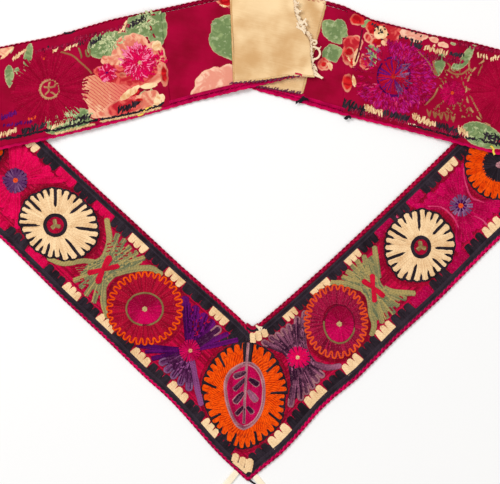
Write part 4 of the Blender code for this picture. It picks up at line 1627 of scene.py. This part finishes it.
def backs_of_the_right_strip():
    """The wheel in its halo, the field beside its flower and the edges' dark lines, from behind."""
    thread, fuzzy, scatter, spokes, ring_round = (partial(draw, RIGHT) for draw in BACK_DRAWINGS)
    wheel = Oval(143.5, 329, 16.5, 19.5, 0)
    middle = (wheel.x, wheel.y)
    halo = Oval(wheel.x, wheel.y, 42, 35, -15)
    scatter("magenta", halo, 17, 480, 4.5, 0.2, 0.35, -160, 100)
    scatter("orchid", halo, 17, 420, 4, 0.15, 0.4, -160, 100)
    scatter("magenta", halo, 17, 60, 5, 0.2, 0.4, 100, 200)
    scatter("pale_pink", halo, 18, 40, 4, 0.1, 0, -170, 150)
    spokes("red", middle, 2, 17, 40, 0.3, 0.45, 0.8)
    scatter("magenta", wheel, 2, 70, 5, 0.34, 0.1, -80, 80)
    spokes("violet", middle, 3, 17, 34, 0.8, 0.3, 0.8, 5)
    scatter("lavender", wheel, 3, 44, 7, 0.13, 0.3, -90, 90)
    spokes("coral", middle, 0.3, 2.2, 8, 0, 0.45)
    for inset, start, finish in ((0, -100, 120), (-0.9, -130, 100), (-0.4, 130, 235)):
        line = rim_line(larger(wheel, inset), np.linspace(start, finish, 40))
        thread("violet", line, 0.3, 0.4, False)
    field, flower = (252, 314), (202, 313)
    spokes("crimson_back", field, 6, 36, 90, radius=0.34, shade=0.6)
    ring_round(field, 36, 0.1, 120, 250, dashed=True)
    spokes("magenta", flower, 2, 13, 44, 0.45, 0.42)
    spokes("coral", flower, 0.3, 1.8, 6, 0.6, 0.4)
    for _ in range(170):
        place = np.array(flower) + (stray(25), between(-26, 24))
        x, y = np.abs(place - flower)
        if x < 8 + 0.62 * y and math.dist(place, flower) > 11:
            way = flat(between(60, 150)) * between(0.4, 1.1)
            stitch(RIGHT, "tan", place, way, 0.1, between(0, 0.4))
    scatter("pale_green", Oval(232, 270, 19, 7, -14), 1, 24, 3, 0.2, 0.3)
    strokes = (
        ((168, 354), (172, 350), (177, 345), (182, 337), (185, 330)), ((183, 345), (184, 338), (187, 331)),
        ((188, 318), (183, 309), (175, 301)), ((197, 343), (200, 339), (198, 335)),
        ((197, 336), (204, 332), (212, 332), (219, 337)), ((219, 345), (219, 338), (221, 334)),
        ((219, 337), (224, 335)), ((232, 341), (230, 336), (228, 331)),
        ((220, 310), (226, 298), (231, 288)), ((190, 321), (192, 317)), ((214, 319), (220, 316)),
    )
    for stroke in strokes:
        thread("tan", stroke, 0.12, 0.2)
    for index in range(5):
        x, y = 177 + 6 * index, 289 - 1.32 * index
        thread("tan", ((x, y + 7), (x + 2, y), (x + 3.4, y + 6)), 0.09, 0.1, False)
    thread("frayed_cotton", ((158, 282), (164, 281), (167, 279)), 0.5, 0.6)
    fuzzy("black", ((100, 298), (108, 297), (116, 296)), 0.8)
    fuzzy("black", ((160, 281), (175, 277), (190, 273), (207, 268)), 1)
    fuzzy("black", ((205, 271), (228, 266), (252, 261)), 2.6)
    fuzzy("black", ((232, 272), (242, 270), (252, 268)), 3.6)
    thread("plum_red", ((112, 376), (110, 362), (107, 350), (105, 344)), 0.22, 0)
    dots = (
        (124, 375), (128, 372), (134, 376), (137, 371), (131, 366), (133, 379), (165, 372), (170, 369),
        (161, 374),
    )
    for x, y in dots:
        thread("black", ((x, y), (x + 1.4, y + 0.8)), 0.34, 0.3, False)
    scatter("lavender", Oval(122, 351, 8, 10, 0), 1, 14, 4, 0.16, 0.3)


# ---- Cloth ----


def grid(arm, distances, columns, margin, hem=None):
    """Spots of a grid over a stretch of an arm, between the two edgings or from a hem's line."""
    rows = []
    for distance in distances:
        outer = (np.interp(distance, *zip(*hem)) if hem else margin) - reach(arm, distance, OUTER)
        inner = reach(arm, distance, INNER) - margin
        rows.append(on_cross_line(arm, distance, np.linspace(outer, inner, columns + 1)))
    return np.array(rows)


def shell(name, spots, top, bottom):
    """A closed cloth over a grid of spots, between two heights."""
    rows, columns = spots.shape[:2]
    count = rows * columns
    heights = [np.broadcast_to(height, (rows, columns)).ravel() for height in (top, bottom)]
    points = np.vstack([np.column_stack([spots.reshape(-1, 2), height]) for height in heights])
    index = np.arange(count).reshape(rows, columns)
    a, b, c, d = (part.ravel() for part in (index[:-1, :-1], index[1:, :-1], index[1:, 1:], index[:-1, 1:]))
    border = np.concatenate([index[0, :], index[1:, -1], index[-1, -2::-1], index[-2:0:-1, 0]])
    following = np.roll(border, -1)
    walls = np.column_stack([border, following, following + count, border + count])
    faces = np.vstack([np.column_stack([a, b, c, d]), np.column_stack([d, c, b, a]) + count, walls])
    mesh = bpy.data.meshes.new(name)
    mesh.from_pydata(points.tolist(), [], faces.tolist())
    first, second = points[faces[0, 1]] - points[faces[0, 0]], points[faces[0, 2]] - points[faces[0, 1]]
    if np.cross(first[:2], second[:2]) < 0:
        mesh.flip_normals()
    mesh.polygons.foreach_set("use_smooth", [True] * len(mesh.polygons))
    return mesh


def band_grid(columns, arm_step=ARM_STEP, strip_step=STRIP_STEP, lap=0):
    """Spots over the whole band, to its seams or so far past them."""
    parts = []
    for arm in (LEFT, RIGHT):
        finish = arm.seam - CLEARANCE / 2 + lap
        parts.append(grid(arm, sections(arm, finish, arm_step, strip_step), columns, CLOTH_MARGIN))
    return np.concatenate([parts[0][::-1], parts[1][1:]])


BAND_FLAT = (BAND_WIDTH * MM, (LEFT.seam + RIGHT.seam) * MM)


def face_cloth(material):
    mesh = shell("face_cloth", band_grid(14), FACE, 0)
    body = piece("face_cloth", folded(mesh), material)
    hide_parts("band")


def lining_cloth(material):
    """The printed lining: its back is puckered and carries how far each point is from each printed shape."""
    spots = band_grid(56, 4, 1.7, 1.6)
    proud = LINING + puckers(spots.reshape(-1, 2)).reshape(spots.shape[:2])
    mesh = shell("lining", spots, -0.2, -proud)
    printed(mesh, spots.reshape(-1, 2))
    body = piece("lining", folded(mesh), material)
    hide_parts("band")


# How far a hem lies in from the strip's outer edge, by distance along the arm.
HEMS = {
    "left": ((732, 8.6), (745, 6.2), (765, 3.8), (780, 2.8), (794, 1), (804, -0.4)),
    "right": ((668, 8.8), (690, 6.6), (720, 4.8), (743, 4.8)),
}
# How far the torn end stands out, by the place across the strip.
TORN_END = (
    (-52, -1.6), (-40, -1.4), (-26, 0.8), (-18, 3.2), (-12, 3), (-6, 0.5), (-1, -0.4), (10, -3.1),
    (19.5, -4.4), (28, -1.4),
)
TEAR_RUN = 14  # how far from the end the tear is felt
HEM_LIFT = 1.3  # how far a hem is lifted on to the edging
HEM_RUN = 7  # per cent of the width over which it comes down again
INNER_LAP = 4.4  # how far the right patch laps over the inner edging


def rumple(spots):
    """Low waves of a soft cloth."""
    x, y = spots[..., 0], spots[..., 1]
    broad = np.sin(x / 9 + 0.6 * np.sin(y / 13)) * np.sin(y / 17 + x / 31)
    return 0.28 * broad + 0.14 * np.sin(x / 4.3 - y / 6.1) * np.sin(y / 8.7)


def patch_piece(mesh, material, node, length):
    """The piece of a patch on a strip."""
    body = piece(mesh.name, folded(mesh), material)
    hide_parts(node)
    length * MM


def extension_cloth(arm, material):
    gap = CLEARANCE / 2
    stops = np.linspace(arm.seam + gap, arm.patch - gap, round((arm.patch - arm.seam) / 2))
    spots = grid(arm, stops, 36, EDGING_WIDTH + CLEARANCE)
    waves = 0.6 * rumple(spots)
    half = EXTENSION_THICKNESS / 2
    mesh = shell(f"extension_cloth_{arm.name}", spots, half - waves, -half - waves)
    printed(mesh, spots.reshape(-1, 2))
    patch_piece(mesh, material, f"extension_{arm.name}", arm.patch - arm.seam)


def end_cloth(arm, material):
    """The undyed patch, hemmed over the edging, with a torn end on the left arm."""
    columns = 44
    stops = np.linspace(arm.patch + CLEARANCE / 2, arm.end, 38)
    spots = grid(arm, stops, columns, EDGING_WIDTH + CLEARANCE, HEMS[arm.name])
    across = np.linspace(-50, 50, columns + 1)
    if arm is RIGHT:
        lap = np.outer(1 - ease((stops - arm.patch) / 60), ease((across - 30) / 20))
        spots += np.multiply.outer(lap, inward(arm)) * INNER_LAP
    else:
        torn = np.interp(across, *zip(*TORN_END)) + 0.5 * np.sin(across * 1.9) + 0.35 * np.sin(across * 0.83)
        share = ease((stops - arm.end + TEAR_RUN) / TEAR_RUN)
        spots += np.multiply.outer(np.outer(share, torn), along(arm))
    lifted = HEM_LIFT * (1 - ease(np.linspace(0, 100, columns + 1) / HEM_RUN))
    waves = 1.2 * rumple(spots) - lifted * np.where(stops > arm.patch + 12, 1, 0.4)[:, None]
    half = END_THICKNESS / 2
    mesh = shell(f"end_cloth_{arm.name}", spots, half + waves, -half + waves)
    patch_piece(mesh, material, f"end_{arm.name}", arm.end - arm.patch)
    hem = spots[:, 0] + inward(arm) * 0.5
    sew("hem_cotton", hem, HEM_LIFT + 0.55, 0.85, 0.4, rows=back_rows)


Patch = namedtuple("Patch", "x y radius strength")
# Painted highlights where the end cloths face the light, and where the strength is below 0 darker places,
# partly painted shade and partly stains.
PAINTED_LIGHT_AND_STAINS = [Patch(*row) for row in (
    (-6, 398, 22, 0.7), (22, 402, 24, 0.8), (46, 402, 10, 1.2), (60, 333, 9, 1.3), (46, 331, 9, 0.8),
    (36, 329, 7, 0.5), (72, 402, 8, 0.9), (-12, 366, 10, 0.4), (-7, 381, 12, -0.5), (36, 379, 11, 0.6),
    (55, 344, 8, -0.5), (27, 352, 8, -0.25), (4, 346, 9, -0.2), (66, 386, 8, -0.4),
)]


def plain_cotton(name, first, second, patches=()):
    """Plain cloth between two colours, with painted highlights, and darker places that are partly painted
    shade and partly stains.
    """
    material, tree, sockets = new_material(name, 0.85)
    place = own_place(tree)
    weave = add(tree, "ShaderNodeGroup", {"Thread Width": 0.0007}, node_tree=PLAIN_WEAVE).outputs
    blotches = noise(place, 42, 6)
    shade = (Value(weave["Slubs"]) * 0.3 + blotches * 1.4).stepped(0.4, 1.3) * 1.15
    plan = add(tree, "ShaderNodeVectorMath", {0: place, 1: (1, 1, 0)}, operation="MULTIPLY").outputs[0]
    for patch in patches:
        radius = patch.radius * MM
        ends = {0: plan, 1: (patch.x * MM, patch.y * MM, 0)}
        away = Value(add(tree, "ShaderNodeVectorMath", ends, operation="DISTANCE").outputs["Value"])
        # Each patch adds a painted highlight round its place, or below 0 darkens it, partly as painted shade
        # and partly as a stain
        shade += (blotches * (radius * 0.9) + away).stepped(radius * 1.6, radius * 0.5) * patch.strength
    plug(blended(shade.stepped(0, 1.6), first, second), sockets["Base Color"])
    bumped(tree, sockets, weave["Relief"], 0.00008, 0.4)
    return material


# The torn end's line and its looped threads, by their places in the picture
TORN_LINE = (
    (293.8, 0), (294.8, 10), (297.6, 19), (300, 24.5), (304.2, 30.5), (309, 37), (310.6, 44), (310.8, 52),
    (312, 62), (314.4, 75),
)
TORN_LOOPS = (
    ((299, 22), (301, 25), (304, 22), (306, 19)), ((300, 25), (304, 22), (307, 26)),
    ((297, 23), (299, 28), (303, 31), (305, 34)), ((296, 27), (300, 29), (304, 28)),
    ((312, 41), (315.6, 41), (316.6, 43), (315, 45), (313, 44)),
    ((312, 47), (317, 48.6), (319.8, 53), (318, 58), (313, 60)), ((316, 49.5), (319, 49), (320.5, 47.6)),
    ((314, 71), (318, 75), (322, 79)), ((314, 75), (319, 77), (322.5, 77.4)),
    ((314, 66), (315.6, 68), (316.6, 71)), ((294, 1), (297, 4), (299, 3)),
    ((296, 9), (299, 12), (301.5, 11)),
)
PICTURE_LEFT = -250
PICTURE_TOP = 406
# Where the hems' stitches start and finish, and how many there are
HEM_STITCHES = (
    (LEFT, (-18, 322.6), (29, 325.8), 12), (RIGHT, (8, 319.4), (50, 313), 14),
    (LEFT, (33, 328), (48, 329), 4),
)
DARK_TUFTS = (
    ((46, 303.4), (50, 305.6), (55, 308.6)), ((45.6, 302.6), (51, 306), (57, 307)),
    ((50, 302.6), (53, 306.4), (58, 306.6)), ((49, 304.6), (52, 307.8), (54, 309.4)),
    ((94, 287), (97, 289.4), (100, 290)), ((96, 286), (98, 289), (101, 287.6)),
)


def loose_ends():
    """Frayed threads of the torn end, the stitches of the hems, and the thread ends along the edges."""
    def in_plan(line):
        return np.array(line) * (1, -1) + (PICTURE_LEFT, PICTURE_TOP)

    edge_line = in_plan(curve(TORN_LINE, 60))
    for run in np.arange(1, lengths(edge_line)[-1], 1.1):
        start = cut(edge_line, [run])[0]
        way = flat(between(-50, 15)) * between(1, 3.4) * (1.3 if run < 40 else 0.7)
        back_thread(LEFT, "frayed_cotton", (start, start + way * 0.4, start + way), 0.1, 0.7, level=0.9)
    for loop in TORN_LOOPS:
        back_thread(LEFT, "frayed_cotton", in_plan(loop), 0.13, 0.8, level=1)
    for arm, start, finish, count in HEM_STITCHES:
        for share in np.linspace(0, 1, count):
            middle = np.array(start) + (np.array(finish) - start) * share + stray(0.4, 2)
            way = flat(212 + stray(14)) * 1.5
            stitch(arm, "mauve", middle, way, 0.06, 0, 2.2)
    back_thread(LEFT, "hot_pink", ((45, 332), (49, 331.4), (52, 330)), 0.5, 0.3, level=2)
    for tuft in DARK_TUFTS:
        back_thread(RIGHT, "black", tuft, 0.17, 0.3, level=1.7)
    yellow_line = ((240, 260), (243, 257), (242.6, 254), (244, 251))
    back_thread(RIGHT, "loose_yellow", yellow_line, 0.34, 0.6, level=1.4)
    sew("black", curve(((-1, -73), (2, -76), (5.4, -78.2)), 8), 0.2, 0.4, 0.3)
    sew("frayed_cotton", curve(((6, 81), (8, 78.6), (12, 78.6), (11, 76.4)), 12), 1.3, 0.24, 0.8)
    sew("frayed_cotton", curve(((7.4, 79.6), (9.6, 76.6), (10, 75)), 8), 1.3, 0.24, 0.8)


def wide_edging():
    """The outer edging's inner rows, where it is broadest, and the rows that close the seams."""
    for arm in (LEFT, RIGHT):

        def edge_row(stops, inset, height, radius, shade, **more):
            line = on_cross_line(arm, stops, inset - reach(arm, stops, OUTER))
            sew("edging_pink", line, height, radius, shade, rows=back_rows, **more)

        turned = np.linspace(arm.crease + 10, arm.end - 30, 300)
        for inset, shade in ((0.6, 0.62), (1.9, 0.45)):
            edge_row(turned, inset + 0.3 * np.sin(turned / 1.3), 0.55, 0.42, shade, step=1.3)
        for inset in (5, 6.3):
            joined = np.linspace(arm.seam, arm.patch, 16)
            edge_row(joined, inset, 0.86, 0.8, 0.5 + stray(0.2))
        stops = np.linspace(arm.patch - 2, arm.end, 50)
        hem = np.interp(stops, *zip(*HEMS[arm.name]))
        for inset in (4.6, 5.8, 7, 8.2):
            own = stops[inset < hem + 0.8]
            if len(own) > 3:
                edge_row(own, inset, 0.3, 0.8, 0.5 + stray(0.2))
        across = np.linspace(9 - reach(arm, arm.patch, OUTER), reach(arm, arm.patch, INNER) - 4.6, 50)
        sew("hem_cotton", on_cross_line(arm, arm.patch, across), 0.7, 0.8, 0.2, rows=back_rows)


BRAID_STEP = 1.1
BRAID_REPEAT = 16
# Shares of the edging's width, and heights
BRAID_SWAY = 0.31
BRAID_RADIUS = 0.205
BRAID_MIDDLE = 0.14
BRAID_RISE = 0.22


def braid(name, side, thread, node):
    """Three plaited strands along the whole of one edge."""

    def middles(arm, distance):
        hidden = EDGING_WIDTH - 0.1 - DEPTHS[arm.name, side].edging
        beyond = ease((distance - arm.crease + 60) / 40)
        width = edge_depth(arm, distance, "edging", side) + hidden * beyond
        return side * (reach(arm, distance, side) - width / 2)

    def outsides(arm, distance):
        return side * reach(arm, distance, side)

    line, edge = (whole_row(places, LEFT.end, RIGHT.end) for places in (middles, outsides))
    width = 2 * np.linalg.norm(line - edge, axis=1)
    total = lengths(line)[-1]
    wanted = np.linspace(0, total, round(total / BRAID_STEP))
    table = cut(np.column_stack([line, width]), wanted)
    line, width = table[:, :2], np.clip(table[:, 2], 2.2, EDGING_WIDTH)
    aside = sideways(line)
    turned_back = ease((LEFT.end - LEFT.crease - wanted) / 20)
    turned_back += ease((wanted - total + RIGHT.end - RIGHT.crease) / 20)
    rows = []
    for strand in range(3):
        phase = math.tau * (wanted / BRAID_REPEAT + strand / 3)
        place = line + aside * (BRAID_SWAY * width * np.sin(phase))[:, None]
        heights = BRAID_MIDDLE + BRAID_RISE * np.sin(2 * phase)
        # Painted light: a strand is brighter where it rises over the others and darker where it dips under
        # them; the slow wave is tone
        shade = 0.34 + 0.36 * np.sin(2 * phase + 0.6) + 0.2 * np.sin(wanted / 37 + strand)
        shade += 0.6 * turned_back + stray(0.1)
        rows.append((np.column_stack([place, heights]), BRAID_RADIUS * width, shade))
    mesh = folded(swept(name, rows, silk(thread), sides=8, flatness=0.72, roundness=0.9))
    body = piece(name, mesh, None)
    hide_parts(node)


TAPE_STRANDS = 5


def ties():
    """The two cream tapes at the point, which end bare."""
    material = plain_cotton("cream_tape", eye(248, 232, 204), eye(255, 250, 236))
    pitch = TIE_WIDTH / TAPE_STRANDS
    for side, route in TIE_ROUTES.items():
        line = curve(route, 60)
        rows = []
        for index in range(TAPE_STRANDS):
            place = line + sideways(line) * (index - (TAPE_STRANDS - 1) / 2) * pitch
            level, radii, shades = (np.full(len(line), value) for value in (TIE_MIDDLE, pitch * 0.56, 0.5))
            rows.append((np.column_stack([place, level]), radii, shades))
        mesh = swept(f"tie_tape_{side}", rows, material, sides=7, flatness=0.85, roundness=0.95)
        body = piece(f"tie_tape_{side}", moved(mesh, lambda points: points * MM), None)
        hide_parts(f"tie_{side}")
        path = [(x * MM, y * MM, TIE_MIDDLE * MM) for x, y in route]
        run = sum(math.dist(a, b) for a, b in zip(path, path[1:]))
        path[0]


def threads_to_pieces(rows, kind, under):
    """Each colour's rows as one piece."""
    for thread, own in rows.items():
        name = f"{kind}_{full_name(thread)}"
        piece(name, folded(swept(name, own, silk(thread), flatness=0.4), under), None)


stage()
ties()
ground()
borders()
corner_blocks()
channels()
left_green_flower()
right_green_flower()
violet_flower()
plum_flower()
pink_fields()
cream_rosettes()
pink_rosettes()
medallion()
for oval in (ORANGE_RIGHT, ORANGE_LEFT):
    orange_rosette(oval)
for arm, groups in TICKS:
    for group in groups:
        tick_group(arm, Ticks(*group))
backs_of_the_left_strip()
backs_of_the_right_strip()
loose_ends()
wide_edging()
# The end cloths carry painted highlights and painted shade as well as stains
undyed = plain_cotton("undyed_cotton", eye(208, 164, 112), eye(244, 212, 164), PAINTED_LIGHT_AND_STAINS)
face_cloth(plain_cotton("crimson_cotton", eye(136, 0, 34), eye(170, 2, 50)))
cotton = printed_cotton()
lining_cloth(cotton)
for arm in (LEFT, RIGHT):
    extension_cloth(arm, cotton)
    end_cloth(arm, undyed)
threads_to_pieces(face_rows, "rows", False)
threads_to_pieces(back_rows, "back", True)
braid("braid_outer", OUTER, "edging_pink", "edging_outer")
braid("braid_inner", INNER, "edging_red", "edging_inner")
